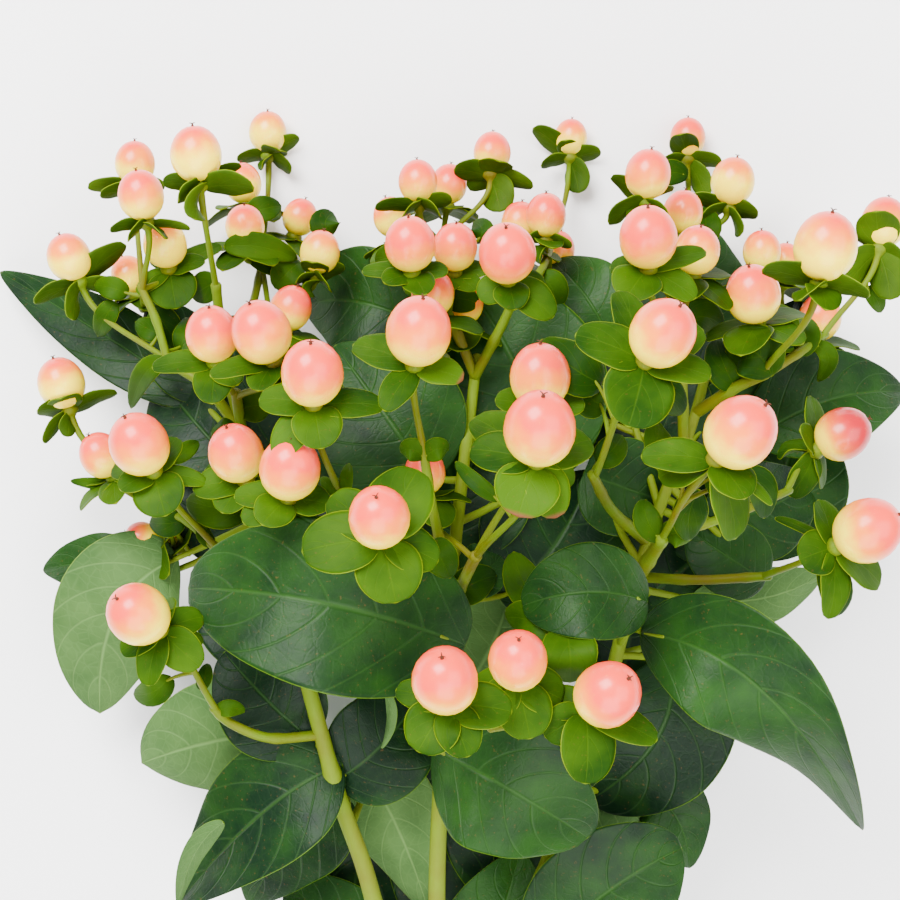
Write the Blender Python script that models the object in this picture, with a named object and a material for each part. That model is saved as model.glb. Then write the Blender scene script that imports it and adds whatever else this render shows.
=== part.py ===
"""A cut hypericum branch with ripe peach berries, lying on its back on a flat surface.

The branch is one woody stem that forks into three leafy shoots. Each shoot carries sprays, and each
pedicel of a spray ends in a calyx of five sepals under one berry. X runs across the head, Y from the
cut end towards the tips, and Z up from the surface. Tables are in millimetres, meshes in metres.
"""

import math
import random
from dataclasses import dataclass

import bmesh
import bpy
from mathutils import Matrix, Vector

MM = 0.001

# A spot in the head is named by its sight line and its height: where it shows in a square picture
# of 900 pixels taken from straight above, and how many millimetres it lies above the surface.
EYE_HEIGHT = 500.0
FOCAL_PIXELS = 2000.0
PICTURE_MIDDLE = 450.0
HEAD_MIDDLE = Vector((1.7, 75.6, 0.0))

# The driving sizes of the plant, in millimetres.
CLEARANCE = 0.35
SEPAL_LENGTH = 13.5
SEPAL_WIDTH = 10.4
SEPAL_THICKNESS = 1.0
LEAF_THICKNESS = 1.1
BERRY_SLENDERNESS = 1.1
BERRY_STANDARD_WIDTH = 13.0
CALYX_DROP = 0.8
RECEPTACLE_RADIUS = 2.1
PEDICEL_RADIUS = 0.85
STALK_RADIUS = 1.1
SEPALS = 5
SEPAL_OUTLINE = ((0.5, 0.92), (0.84, 0.7))
SEPAL_NOTCH = 3.2
BERRY_SIDES = 8
BERRY_RINGS = 5
LEAF_ROWS = (0.08, 0.27, 0.5, 0.74, 0.91)
LEAF_FOLD = 0.16
PEDICEL_SIDES = 5
STALK_SIDES = 4
# EXACT leaves slivers where leaf roots cross at a shallow angle; every operand here is closed.
SOLVER = "MANIFOLD"
SHOOT_SIDES = 7


@dataclass(frozen=True)
class Berry:
    """One berry: its sight line, height, width and the way its tip points, and the twig that bears it."""

    number: int
    px: float
    py: float
    height: float
    width: float
    lean: tuple
    twig: str


@dataclass(frozen=True)
class Twig:
    """A length of green wood through several spots, each (px, py, height)."""

    name: str
    spots: tuple
    base_radius: float
    tip_radius: float


@dataclass(frozen=True)
class Leaf:
    """One leaf: base, bend and tip spots of its midrib, its width, and the way its upper side faces.

    Its stalk leaves the wood at root, or at the nearest spot of the wood where root is None.
    """

    name: str
    base: tuple
    bend: tuple
    tip: tuple
    width: float
    face: tuple = (0.0, 0.0, 1.0)
    tip_face: tuple = None
    root: tuple = None


WOOD = (
    Twig("stem", ((430, 1395, 2.7), (430, 1260, 5), (432, 1130, 14)), 3.2, 2.7),
    Twig("shoot_left", ((432, 1135, 14), (400, 1010, 26), (368, 880, 38), (340, 800, 45), (312, 700, 52),
                        (285, 600, 52), (262, 520, 48), (238, 415, 44), (230, 388, 43)), 2.3, 1.2),
    Twig("shoot_centre", ((432, 1135, 14), (437, 1000, 30), (437, 880, 44), (441, 780, 50), (446, 700, 53),
                          (450, 600, 55), (462, 480, 50), (472, 400, 46), (477, 356, 45)), 2.2, 1.1),
    Twig("shoot_right", ((432, 1135, 14), (480, 1020, 24), (532, 900, 34), (577, 790, 42), (605, 700, 47),
                         (628, 610, 51), (655, 520, 50), (690, 430, 46), (706, 374, 42)), 2.2, 1.1),
)

LEAVES = (
    Leaf("front_left", (466, 646, 64), (330, 590, 100), (188, 588, 66), 36, (0, 0.12, 1)),
    Leaf("front_small", (648, 602, 76), (590, 580, 96), (522, 606, 80), 20, (0, 0.25, 1), root=(622, 640, 50)),
    Leaf("right_long", (640, 634, 60), (770, 640, 98), (862, 830, 52), 27, (0.1, 0.1, 1), (-0.8, -0.3, 0.6)),
    Leaf("bottom_centre", (432, 748, 58), (500, 780, 84), (588, 838, 62), 30, (-0.1, -0.1, 1)),
    Leaf("bottom_right", (540, 950, 38), (610, 880, 58), (682, 848, 50), 29),
    Leaf("under_right", (560, 790, 36), (610, 800, 42), (668, 806, 30), 25, (0, 0.1, -1)),
    Leaf("right_dark", (668, 655, 42), (690, 740, 46), (590, 800, 38), 32, (0.1, 0, 1)),
    Leaf("right_low_edge", (640, 790, 30), (684, 800, 38), (690, 868, 26), 17, (0.2, 0, 1)),
    Leaf("left_pale", (178, 558, 36), (92, 590, 46), (100, 712, 20), 29, (-0.1, 0, -1)),
    Leaf("left_point", (150, 585, 24), (100, 552, 30), (43, 570, 18), 15, (0, 0.3, 1)),
    Leaf("left_low_pale", (306, 728, 34), (212, 735, 42), (143, 762, 20), 28, (0, 0.1, -1)),
    Leaf("low_left_dark", (343, 765, 46), (265, 790, 54), (178, 905, 30), 27, (0, 0.2, 1), (-0.7, 0, 0.7)),
    Leaf("low_left_back", (350, 785, 30), (290, 820, 34), (250, 905, 14), 25),
    Leaf("low_centre_pale", (352, 756, 30), (395, 800, 38), (430, 915, 20), 22, (0.1, 0, -1)),
    Leaf("stem_left", (312, 740, 44), (270, 708, 52), (224, 652, 42), 24),
    Leaf("stem_right", (336, 780, 44), (384, 755, 50), (424, 690, 38), 24),
    Leaf("right_top", (752, 440, 34), (830, 385, 44), (905, 392, 26), 24, (0, 0.2, 1), root=(675, 465, 48)),
    Leaf("right_blue", (690, 440, 36), (740, 402, 38), (822, 372, 26), 16, (0, 0.3, 1), root=(668, 482, 49)),
    Leaf("centre_tall", (556, 480, 40), (520, 350, 42), (466, 285, 34), 38, root=(458, 530, 52)),
    Leaf("top_left", (414, 322, 26), (350, 288, 30), (303, 306, 12), 26, root=(468, 430, 47)),
    Leaf("top_right", (612, 348, 34), (592, 292, 42), (553, 262, 24), 20, root=(660, 505, 49)),
    Leaf("right_tall", (712, 342, 22), (698, 290, 16), (716, 232, 5), 22),
    Leaf("left_long", (205, 402, 28), (120, 342, 26), (0, 272, 6), 17, root=(246, 450, 45)),
    Leaf("centre_left", (432, 482, 46), (390, 420, 52), (335, 345, 38), 34),
    Leaf("centre_right", (584, 472, 46), (622, 488, 52), (668, 502, 42), 22, root=(640, 570, 51)),
    Leaf("right_oval", (766, 580, 42), (730, 560, 50), (690, 530, 42), 17, root=(668, 482, 49)),
    Leaf("right_pale", (690, 600, 38), (770, 610, 40), (824, 572, 24), 14, (0, 0.2, -1)),
    Leaf("right_back", (700, 520, 42), (770, 520, 46), (812, 478, 28), 23),
    Leaf("centre_low", (454, 572, 53), (490, 575, 58), (500, 556, 52), 12),
    Leaf("left_back", (240, 470, 34), (190, 420, 36), (160, 378, 20), 24, root=(262, 520, 48)),
)

SPRAYS = {
    "spray_left_rim": (
        Twig("a", ((236, 424, 44), (205, 386, 44), (168, 362, 42)), 1.3, 1.1),
        Twig("b", ((168, 362, 42), (156, 320, 42), (140, 285, 42)), 1.0, 0.9),
        Berry(1, 69, 257, 34, 10.3, (-0.35, 0.9, 0.25), "a"),
        Berry(2, 135, 163, 34, 9.4, (0.0, 0.98, 0.1), "b"),
        Berry(3, 141, 195, 54, 10.3, (-0.15, 0.93, 0.3), "b"),
        Berry(8, 165, 244, 40, 10.1, (-0.1, 0.88, 0.45), "b"),
        Leaf("curl", (168, 364, 41), (142, 358, 44), (131, 408, 26), 5),
    ),
    "spray_top_left": (
        Twig("a", ((230, 390, 43), (222, 340, 44), (216, 285, 50)), 1.3, 1.1),
        Twig("b", ((222, 340, 44), (250, 310, 32), (262, 262, 22)), 1.1, 0.9),
        Berry(4, 196, 154, 66, 11.2, (-0.1, 0.97, 0.2), "a"),
        Berry(5, 268, 132, 4.4, 9.4, (0.0, 0.98, 0.2), "b"),
        Berry(7, 245, 226, 34, 9.2, (0.0, 0.93, 0.35), "b"),
        Berry(13, 320, 252, 36, 9.3, (0.2, 0.93, 0.25), "b"),
    ),
    "spray_left_pair": (
        Twig("a", ((250, 470, 46), (240, 420, 56), (236, 392, 62)), 1.3, 1.1),
        Berry(10, 212, 334, 72, 11.3, (-0.05, 0.88, 0.48), "a"),
        Berry(11, 261, 332, 82, 12.5, (-0.3, 0.82, 0.48), "a"),
    ),
    "spray_left_middle": (
        Twig("a", ((276, 570, 52), (264, 530, 60), (258, 505, 64)), 1.3, 1.1),
        Twig("b", ((276, 570, 52), (330, 530, 62), (346, 500, 70)), 1.3, 1.1),
        Berry(19, 236, 453, 76, 11.8, (-0.25, 0.82, 0.5), "a"),
        Berry(20, 290, 468, 90, 12.6, (0.1, 0.83, 0.55), "a"),
        Berry(15, 312, 373, 96, 12.7, (0.0, 0.83, 0.56), "b"),
    ),
    "spray_far_left": (
        Twig("a", ((290, 618, 52), (250, 580, 54), (214, 546, 56)), 1.3, 1.1),
        Twig("b", ((214, 546, 56), (186, 520, 50), (160, 512, 44)), 1.1, 0.9),
        Berry(16, 61, 383, 40, 10.9, (-0.25, 0.9, 0.2), "b"),
        Berry(17, 139, 444, 76, 12.7, (-0.35, 0.8, 0.5), "a"),
        Berry(18, 101, 455, 48, 9.8, (-0.45, 0.82, 0.35), "b"),
    ),
    "spray_low_left": (
        Twig("a", ((320, 735, 50), (270, 738, 54), (232, 724, 57), (213, 708, 60)), 1.2, 1.0),
        Berry(21, 138, 614, 82, 12.9, (-0.5, 0.5, 0.7), "a"),
        Leaf("bract", (216, 712, 59), (230, 704, 62), (244, 712, 56), 3.4),
    ),
    "spray_centre": (
        Twig("a", ((452, 606, 55), (446, 570, 66), (432, 545, 80)), 1.4, 1.2),
        Twig("b", ((452, 606, 55), (462, 584, 66), (476, 556, 76)), 1.4, 1.2),
        Twig("c", ((446, 570, 66), (432, 505, 78), (424, 455, 82)), 1.1, 1.0),
        Berry(24, 379, 517, 112, 12.0, (-0.05, 0.6, 0.8), "a"),
        Berry(28, 419, 331, 96, 13.3, (0.12, 0.87, 0.48), "c"),
        Berry(42, 540, 376, 90, 12.5, (0.0, 0.93, 0.3), "b"),
        Berry(43, 540, 428, 113, 14.1, (0.05, 0.78, 0.62), "b"),
        Leaf("bract_left", (424, 458, 82), (412, 444, 86), (401, 452, 82), 4.5),
        Leaf("bract_right", (424, 458, 82), (438, 444, 86), (448, 450, 82), 4.5),
    ),
    "spray_low_centre": (
        Twig("a", ((596, 735, 45), (575, 724, 66), (552, 712, 80)), 1.4, 1.2),
        Twig("b", ((552, 712, 80), (520, 722, 88), (490, 728, 92)), 1.1, 1.0),
        Berry(25, 445, 680, 112, 13.0, (-0.08, 0.68, 0.73), "b"),
        Berry(26, 518, 660, 104, 11.8, (0.0, 0.68, 0.73), "a"),
        Berry(27, 608, 694, 104, 13.1, (0.5, 0.5, 0.7), "a"),
    ),
    "spray_top_centre": (
        Twig("a", ((475, 376, 46), (458, 335, 48), (446, 308, 48)), 1.2, 1.0),
        Twig("b", ((446, 308, 48), (440, 270, 36), (440, 240, 30)), 1.0, 0.9),
        Twig("c", ((475, 376, 46), (497, 335, 52), (513, 302, 54)), 1.2, 1.0),
        Twig("d", ((513, 302, 54), (540, 272, 46), (550, 248, 32)), 1.0, 0.9),
        Berry(29, 410, 244, 68, 11.1, (-0.05, 0.9, 0.4), "a"),
        Berry(30, 455, 247, 54, 10.0, (0.05, 0.92, 0.35), "a"),
        Berry(31, 418, 181, 42, 9.0, (-0.05, 1.0, 0.05), "b"),
        Berry(33, 492, 152, 26, 8.9, (0.05, 0.97, -0.1), "b"),
        Berry(34, 507, 253, 78, 12.2, (-0.05, 0.72, 0.68), "c"),
        Berry(35, 546, 215, 42, 9.3, (0.0, 0.95, 0.25), "d"),
        Berry(36, 571, 137, 3.9, 8.2, (0.05, 0.95, 0.1), "d"),
    ),
    "spray_right_top": (
        Twig("a", ((684, 446, 47), (682, 380, 56), (680, 318, 54)), 1.3, 1.1),
        Twig("b", ((680, 318, 54), (688, 270, 36), (698, 236, 24)), 1.0, 0.9),
        Berry(45, 648, 174, 60, 10.1, (0.12, 0.95, 0.25), "a"),
        Berry(46, 648, 237, 84, 12.2, (-0.05, 0.86, 0.5), "a"),
        Berry(47, 683, 212, 42, 9.2, (0.1, 0.97, 0.15), "b"),
        Berry(48, 697, 250, 66, 9.9, (0.1, 0.85, 0.45), "a"),
        Berry(49, 688, 137, 4.1, 8.8, (0.0, 0.97, 0.1), "b"),
        Berry(50, 733, 181, 26, 10.4, (0.15, 0.95, 0.2), "b"),
    ),
    "spray_right_rim": (
        Twig("a", ((697, 412, 45), (735, 388, 53), (766, 374, 57)), 1.4, 1.2),
        Twig("b", ((766, 374, 57), (800, 352, 52), (826, 334, 46)), 1.1, 0.9),
        Berry(52, 762, 251, 30, 9.0, (-0.05, 0.95, 0.2), "a"),
        Berry(54, 753, 294, 62, 12.1, (-0.2, 0.85, 0.45), "a"),
        Berry(55, 826, 246, 84, 13.3, (0.12, 0.92, 0.35), "a"),
        Berry(56, 884, 222, 44, 10.6, (0.2, 0.93, -0.1), "b"),
        Berry(57, 820, 317, 26, 10.2, (0.1, 0.88, 0.35), "b"),
    ),
    "spray_right_high": (
        Twig("a", ((648, 543, 50), (612, 510, 62), (592, 474, 74)), 1.3, 1.1),
        Berry(44, 663, 333, 108, 13.0, (0.4, 0.7, 0.58), "a"),
    ),
    "spray_right_middle": (
        Twig("a", ((638, 577, 51), (650, 558, 62), (662, 538, 76)), 1.7, 1.5),
        Twig("b", ((638, 577, 51), (700, 580, 56), (770, 576, 62)), 1.2, 1.0),
        Twig("c", ((662, 538, 76), (740, 512, 70), (790, 490, 62)), 1.0, 0.9),
        Berry(58, 741, 432, 112, 13.8, (0.55, 0.68, 0.48), "a"),
        Berry(59, 843, 434, 60, 11.6, (0.84, 0.52, 0.15), "c"),
        Berry(60, 868, 530, 84, 13.5, (0.8, 0.46, 0.4), "b"),
        Leaf("bract_left", (660, 540, 75), (640, 518, 82), (646, 500, 78), 5.5),
        Leaf("bract_right", (664, 538, 75), (676, 528, 82), (690, 540, 76), 5.5),
    ),
}

BERRY_COLOUR = (0.93, 0.55, 0.47)
SEPAL_COLOUR = (0.27, 0.42, 0.06)
LEAF_COLOUR = (0.06, 0.2, 0.08)


def place(px, py, height):
    """The point in millimetres, in the part's own frame, that a spot of the head stands for."""
    scale = (EYE_HEIGHT - height) / FOCAL_PIXELS
    across = (px - PICTURE_MIDDLE) * scale
    along = (PICTURE_MIDDLE - py) * scale
    return Vector((across, along, height)) + HEAD_MIDDLE


def square_to(direction, guide):
    """The unit vector nearest to guide that is square to direction."""
    side = guide - direction * guide.dot(direction)
    if side.length < 1e-6:
        side = direction.orthogonal()
    return side.normalized()


def smooth_path(points, steps):
    """Points along a smooth curve through the given ones, with steps spans between each two."""
    ends = [points[0] * 2 - points[1], *points, points[-1] * 2 - points[-2]]
    path = []
    for before, start, end, after in zip(ends, ends[1:], ends[2:], ends[3:]):
        for step in range(steps):
            t = step / steps
            path.append(
                0.5 * (2 * start + (end - before) * t
                       + (2 * before - 5 * start + 4 * end - after) * t ** 2
                       + (3 * start - before - 3 * end + after) * t ** 3)
            )
    path.append(points[-1])
    return path


def bezier(points, t):
    """The point at t of the Bezier curve with these control points."""
    while len(points) > 1:
        points = [a.lerp(b, t) for a, b in zip(points, points[1:])]
    return points[0]


def object_from(name, points, faces):
    """A mesh object from points in millimetres, not yet in any collection."""
    mesh = bpy.data.meshes.new(name)
    mesh.from_pydata([point * MM for point in points], [], faces)
    mesh.validate()
    return bpy.data.objects.new(name, mesh)


def tube(name, path, radii, sides):
    """A closed tube with flat ends round a path, with one radius for each point of it."""
    points = []
    across = None
    for index, centre in enumerate(path):
        ahead = path[min(index + 1, len(path) - 1)] - path[max(index - 1, 0)]
        along = ahead.normalized()
        across = square_to(along, across or Vector((0.2, 0.1, 1.0)))
        other = along.cross(across)
        for side in range(sides):
            angle = 2 * math.pi * side / sides
            points.append(centre + (across * math.cos(angle) + other * math.sin(angle)) * radii[index])
    faces = [tuple(reversed(range(sides)))]
    for ring in range(len(path) - 1):
        for side in range(sides):
            a = ring * sides + side
            b = ring * sides + (side + 1) % sides
            faces.append((a, b, b + sides, a + sides))
    faces.append(tuple(range(len(points) - sides, len(points))))
    return object_from(name, points, faces)


def blade(name, base, tip, left, right, ridge, keel):
    """A closed blade with a sharp rim: its two faces meet all round the outline.

    The outline runs from base over left to tip and back over right. The upper face rises to the
    ridge points and the lower face sinks to the keel points, one of each for a row, or one for all.
    """
    rows = len(left)
    points = [base, tip, *left, *right, *ridge, *keel]
    first_left, first_right, first_ridge = 2, 2 + rows, 2 + 2 * rows
    first_keel = first_ridge + len(ridge)
    faces = []
    for first, upward in ((first_ridge, True), (first_keel, False)):
        for flank, flip in ((first_left, upward), (first_right, not upward)):
            rim = [0, *range(flank, flank + rows), 1]
            if len(ridge) == 1:
                fans = [(rim[i], rim[i + 1], first) for i in range(rows + 1)]
            else:
                spine = [0, *range(first, first + rows), 1]
                fans = [(rim[0], rim[1], spine[1])]
                for i in range(1, rows):
                    fans += [(rim[i], rim[i + 1], spine[i]), (rim[i + 1], spine[i + 1], spine[i])]
                fans.append((rim[rows], rim[rows + 1], spine[rows]))
            faces += [tuple(reversed(fan)) if flip else fan for fan in fans]
    return object_from(name, points, faces)


def berry_profile(share):
    """How wide a berry is at a share of the way from its base to its tip, as a share of its full width."""
    return math.sin(math.pi * share) ** 0.72 * (1.0 - 0.10 * (share - 0.5))


def berry_solid(berry):
    """The berry as a closed ring-by-ring solid about its own middle, turned to point along its lean."""
    half = berry.width / 2
    length = berry.width * BERRY_SLENDERNESS
    points = [Vector((0.0, 0.0, -length / 2))]
    for ring in range(1, BERRY_RINGS + 1):
        share = ring / (BERRY_RINGS + 1)
        radius = half * berry_profile(share)
        for side in range(BERRY_SIDES):
            angle = 2 * math.pi * (side + 0.5) / BERRY_SIDES
            points.append(Vector((radius * math.cos(angle), radius * math.sin(angle), (share - 0.5) * length)))
    points.append(Vector((0.0, 0.0, length / 2)))
    faces = []
    last = len(points) - 1
    for side in range(BERRY_SIDES):
        after = (side + 1) % BERRY_SIDES
        faces.append((0, 1 + after, 1 + side))
        for ring in range(BERRY_RINGS - 1):
            a = 1 + ring * BERRY_SIDES + side
            b = 1 + ring * BERRY_SIDES + after
            faces.append((a, b, b + BERRY_SIDES, a + BERRY_SIDES))
        top = 1 + (BERRY_RINGS - 1) * BERRY_SIDES
        faces.append((top + side, top + after, last))
    solid = object_from(f"berry_{berry.number:02d}", points, faces)
    solid.data.shade_smooth()
    solid.location = place(berry.px, berry.py, berry.height) * MM
    solid.rotation_euler = Vector(berry.lean).to_track_quat("Z", "X").to_euler()
    return solid


def calyx_foot(berry):
    """Where the calyx of a berry sits, and the axis of both."""
    axis = Vector(berry.lean).normalized()
    length = berry.width * BERRY_SLENDERNESS
    return place(berry.px, berry.py, berry.height) - axis * (length / 2 + CALYX_DROP), axis


def pedicel_line(berry, start):
    """The middle line of a pedicel from the end of its twig to its calyx, with a radius for each point."""
    foot, axis = calyx_foot(berry)
    reach = (foot - start).length
    curve = [start, start.lerp(foot, 0.35), foot - axis * reach * 0.35, foot - axis * 1.6]
    path = [curve[0], bezier(curve, 0.5), curve[-1], foot - axis * SEPAL_THICKNESS / 2]
    radii = [PEDICEL_RADIUS * 1.15, PEDICEL_RADIUS, PEDICEL_RADIUS * 1.2, RECEPTACLE_RADIUS]
    return path, radii


def sprig_solid(berry, start):
    """A pedicel that flares into the receptacle and opens into the five sepals, in one closed solid.

    The sepals form a star below the berry: two are broad and three narrower, and all bend back. Each
    side of the pedicel runs up to the notch between two sepals.
    """
    foot, axis = calyx_foot(berry)
    path, radii = pedicel_line(berry, start)
    draw = random.Random(berry.number)
    size = 0.45 + 0.55 * berry.width / BERRY_STANDARD_WIDTH
    turn = draw.uniform(0.0, 2 * math.pi)
    across = square_to(axis, Vector((0.0, 0.0, 1.0)))
    points = [foot + axis * (CALYX_DROP - CLEARANCE), path[0]]
    faces = []
    rings = []
    for index in reversed(range(len(path))):
        along = (path[min(index + 1, len(path) - 1)] - path[max(index - 1, 0)]).normalized()
        across = square_to(along, across)
        other = along.cross(across)
        rings.insert(0, len(points))
        for side in range(SEPALS):
            angle = turn + 2 * math.pi * (side - 0.5) / SEPALS
            points.append(path[index] + (across * math.cos(angle) + other * math.sin(angle)) * radii[index])
    for side in range(SEPALS):
        after = (side + 1) % SEPALS
        faces.append((1, rings[0] + after, rings[0] + side))
        for low, high in zip(rings, rings[1:]):
            faces.append((low + side, low + after, high + after, high + side))
    across = square_to(axis, Vector((0.0, 0.0, 1.0)))
    other = axis.cross(across)
    first = len(points)
    lobe_points = 2 * len(SEPAL_OUTLINE) + 4
    for index in range(SEPALS):
        angle = turn + 2 * math.pi * index / SEPALS
        out = across * math.cos(angle) + other * math.sin(angle)
        side = axis.cross(out)
        broad = 1.0 if index in (0, 2) else 0.78
        length = SEPAL_LENGTH * size * (0.55 + 0.45 * broad)
        half = SEPAL_WIDTH * size * broad / 2
        droop = draw.uniform(0.02, 0.42)
        spine = [foot + out * length * reach - axis * length * droop * reach ** 2 for reach, _ in SEPAL_OUTLINE]
        shares = [share for _, share in SEPAL_OUTLINE]
        notch = out * math.cos(math.pi / SEPALS) - side * math.sin(math.pi / SEPALS)
        points.append(foot + notch * SEPAL_NOTCH * size)
        points += [spot - side * half * share for spot, share in zip(spine, shares)]
        points.append(foot + out * length - axis * length * droop)
        points += [spot + side * half * share for spot, share in zip(spine[::-1], shares[::-1])]
        points += [spine[0] + axis * SEPAL_THICKNESS / 2, spine[0] - axis * SEPAL_THICKNESS / 2]
        start_of_lobe = first + index * lobe_points
        following = first + (index + 1) % SEPALS * lobe_points
        rim = [*range(start_of_lobe, start_of_lobe + lobe_points - 2), following]
        upper, lower = start_of_lobe + lobe_points - 2, start_of_lobe + lobe_points - 1
        for here, ahead in zip(rim, rim[1:]):
            faces += [(here, ahead, upper), (ahead, here, lower)]
        near_ring, far_ring = rings[-1] + index, rings[-1] + (index + 1) % SEPALS
        faces += [(0, start_of_lobe, upper), (following, 0, upper)]
        faces += [(start_of_lobe, near_ring, lower), (near_ring, far_ring, lower), (far_ring, following, lower)]
    return object_from(f"sprig_{berry.number}", points, faces)


def twig_path(twig, steps):
    """Points along the middle of a twig."""
    return smooth_path([place(*spot) for spot in twig.spots], steps)


def twig_solid(twig, sides, steps, grow=0.0):
    """The solid of a twig, tapering from its base radius to its tip radius, its wall moved out by grow."""
    path = twig_path(twig, steps)
    last = len(path) - 1
    radii = [twig.base_radius + (twig.tip_radius - twig.base_radius) * i / last + grow for i in range(last + 1)]
    return tube(twig.name, path, radii, sides)


def twig_end(twig):
    """Where the pedicels of a twig start: on its middle line, a little back from its tip."""
    path = twig_path(twig, 1)
    return path[-1] - (path[-1] - path[-2]).normalized() * twig.tip_radius * 1.5


def leaf_profile(share):
    """Half the outline of an ovate leaf: how wide it is at a share of its length, from 0 to 1."""
    return math.sin(math.pi * share ** 0.8) ** 0.75


def leaf_solid(leaf, grow=0.0):
    """The blade of a leaf along its bent midrib, folded a little along it, its faces moved out by grow."""
    spine = [place(*leaf.base), place(*leaf.bend), place(*leaf.tip)]
    left, right, ridge, keel = [], [], [], []
    for share in LEAF_ROWS:
        middle = bezier(spine, share)
        along = (bezier(spine, share + 0.02) - bezier(spine, share - 0.02)).normalized()
        face = Vector(leaf.face).lerp(Vector(leaf.tip_face or leaf.face), share)
        normal = square_to(along, face)
        side = along.cross(normal)
        half = leaf.width * 0.5 * leaf_profile(share) + grow
        rise = normal * half * LEAF_FOLD
        left.append(middle - side * half + rise)
        right.append(middle + side * half + rise)
        ridge.append(middle + normal * (LEAF_THICKNESS / 2 + grow * 1.2))
        keel.append(middle - normal * (LEAF_THICKNESS / 2 + grow * 1.2))
    return blade(leaf.name, spine[0], spine[-1], left, right, ridge, keel)


def stalk_solid(leaf, shoots):
    """The short stalk that joins the base of a leaf to the nearest shoot, sunk into both."""
    base = place(*leaf.base)
    spots = [spot for shoot in shoots for spot in twig_path(shoot, 4)]
    wanted = place(*leaf.root) if leaf.root else base
    root = min(spots, key=lambda spot: (spot - wanted).length)
    inside = bezier([base, place(*leaf.bend), place(*leaf.tip)], 0.07)
    path = [root, base, inside] if (root - base).length > STALK_RADIUS * 2 else [root, inside]
    return tube("stalk", path, [STALK_RADIUS, STALK_RADIUS, STALK_RADIUS * 0.5][:len(path)], STALK_SIDES)


def mesh_of(obj):
    """A copy of the object's mesh with its modifiers applied."""
    graph = bpy.context.evaluated_depsgraph_get()
    return bpy.data.meshes.new_from_object(obj.evaluated_get(graph))


def combine(obj, others, operation):
    """Unites obj with the others, or cuts them from it, and removes them."""
    group = bpy.data.collections.new("operands")
    bpy.context.scene.collection.children.link(group)
    for other in others:
        group.objects.link(other)
    modifier = obj.modifiers.new(operation.lower(), "BOOLEAN")
    modifier.operation = operation
    modifier.operand_type = "COLLECTION"
    modifier.collection = group
    modifier.solver = SOLVER
    bpy.context.view_layer.update()
    mesh = mesh_of(obj)
    obj.modifiers.clear()
    obj.data = mesh
    for other in others:
        bpy.data.objects.remove(other)
    bpy.data.collections.remove(group)


def drop_scraps(obj):
    """Keeps the largest connected body of the mesh and deletes what a cut has left loose."""
    shape = bmesh.new()
    shape.from_mesh(obj.data)
    left = set(shape.verts)
    bodies = []
    while left:
        body = {left.pop()}
        edge = list(body)
        while edge:
            for link in edge.pop().link_edges:
                for vert in link.verts:
                    if vert in left:
                        left.remove(vert)
                        body.add(vert)
                        edge.append(vert)
        bodies.append(body)
    bodies.sort(key=len)
    bmesh.ops.delete(shape, geom=[vert for body in bodies[:-1] for vert in body], context="VERTS")
    shape.to_mesh(obj.data)
    shape.free()


def surface_cutter():
    """The space under the surface that the branch lies on, for cutting its low points flat."""
    mesh = bpy.data.meshes.new("surface")
    shape = bmesh.new()
    bmesh.ops.create_cube(shape, size=1.0, matrix=Matrix.Diagonal((0.6, 0.6, 0.1, 1.0)))
    bmesh.ops.translate(shape, vec=(0.0, 0.0, -0.05), verts=shape.verts)
    shape.to_mesh(mesh)
    shape.free()
    return bpy.data.objects.new("surface", mesh)


def reaches_under(obj):
    """Whether any of the object's mesh lies below the surface."""
    return min(vert.co.z for vert in obj.data.vertices) < 0.0


def material(name, colour, roughness):
    """A plain matt or glossy material of one colour."""
    made = bpy.data.materials.new(name)
    made.use_nodes = True
    shader = made.node_tree.nodes["Principled BSDF"]
    shader.inputs["Base Color"].default_value = (*colour, 1.0)
    shader.inputs["Roughness"].default_value = roughness
    shader.inputs["Metallic"].default_value = 0.0
    return made


def finish(obj, finish_material):
    """Gives the object its one material."""
    obj.data.materials.clear()
    obj.data.materials.append(finish_material)


def settle(obj):
    """Cuts the low points of the object flat where they meet the surface."""
    if reaches_under(obj):
        combine(obj, [surface_cutter()], "DIFFERENCE")
    drop_scraps(obj)


def box_of(obj):
    """The lowest and the highest corner of the object's box, in metres."""
    low = [min(vert.co[i] for vert in obj.data.vertices) for i in range(3)]
    high = [max(vert.co[i] for vert in obj.data.vertices) for i in range(3)]
    return low, high


def meets(first, second):
    """Whether the boxes of two objects meet."""
    (low, high), (other_low, other_high) = box_of(first), box_of(second)
    return all(low[i] < other_high[i] and other_low[i] < high[i] for i in range(3))


def cut_clear(obj, cutters):
    """Cuts the object with those of the cutters that its box meets, and removes all of them."""
    close = []
    for cutter in cutters:
        if meets(obj, cutter):
            close.append(cutter)
        else:
            bpy.data.objects.remove(cutter)
    if close:
        combine(obj, close, "DIFFERENCE")


def split(members):
    """The twigs of a spray by name, and its berries and bracts as two lists."""
    twigs = {member.name: member for member in members if isinstance(member, Twig)}
    own = [member for member in members if isinstance(member, Berry)]
    bracts = [member for member in members if isinstance(member, Leaf)]
    return twigs, own, bracts


def build_branch(leaf_green):
    """The woody stem with its three shoots and all their large leaves, in one piece as it grew."""
    branch = twig_solid(WOOD[0], SHOOT_SIDES + 1, 2)
    branch.name = "leafy_branch"
    bpy.context.scene.collection.objects.link(branch)
    parts = [twig_solid(shoot, SHOOT_SIDES, 1) for shoot in WOOD[1:]]
    for leaf in LEAVES:
        parts += [leaf_solid(leaf), stalk_solid(leaf, WOOD)]
    combine(branch, parts, "UNION")
    settle(branch)
    finish(branch, leaf_green)


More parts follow.
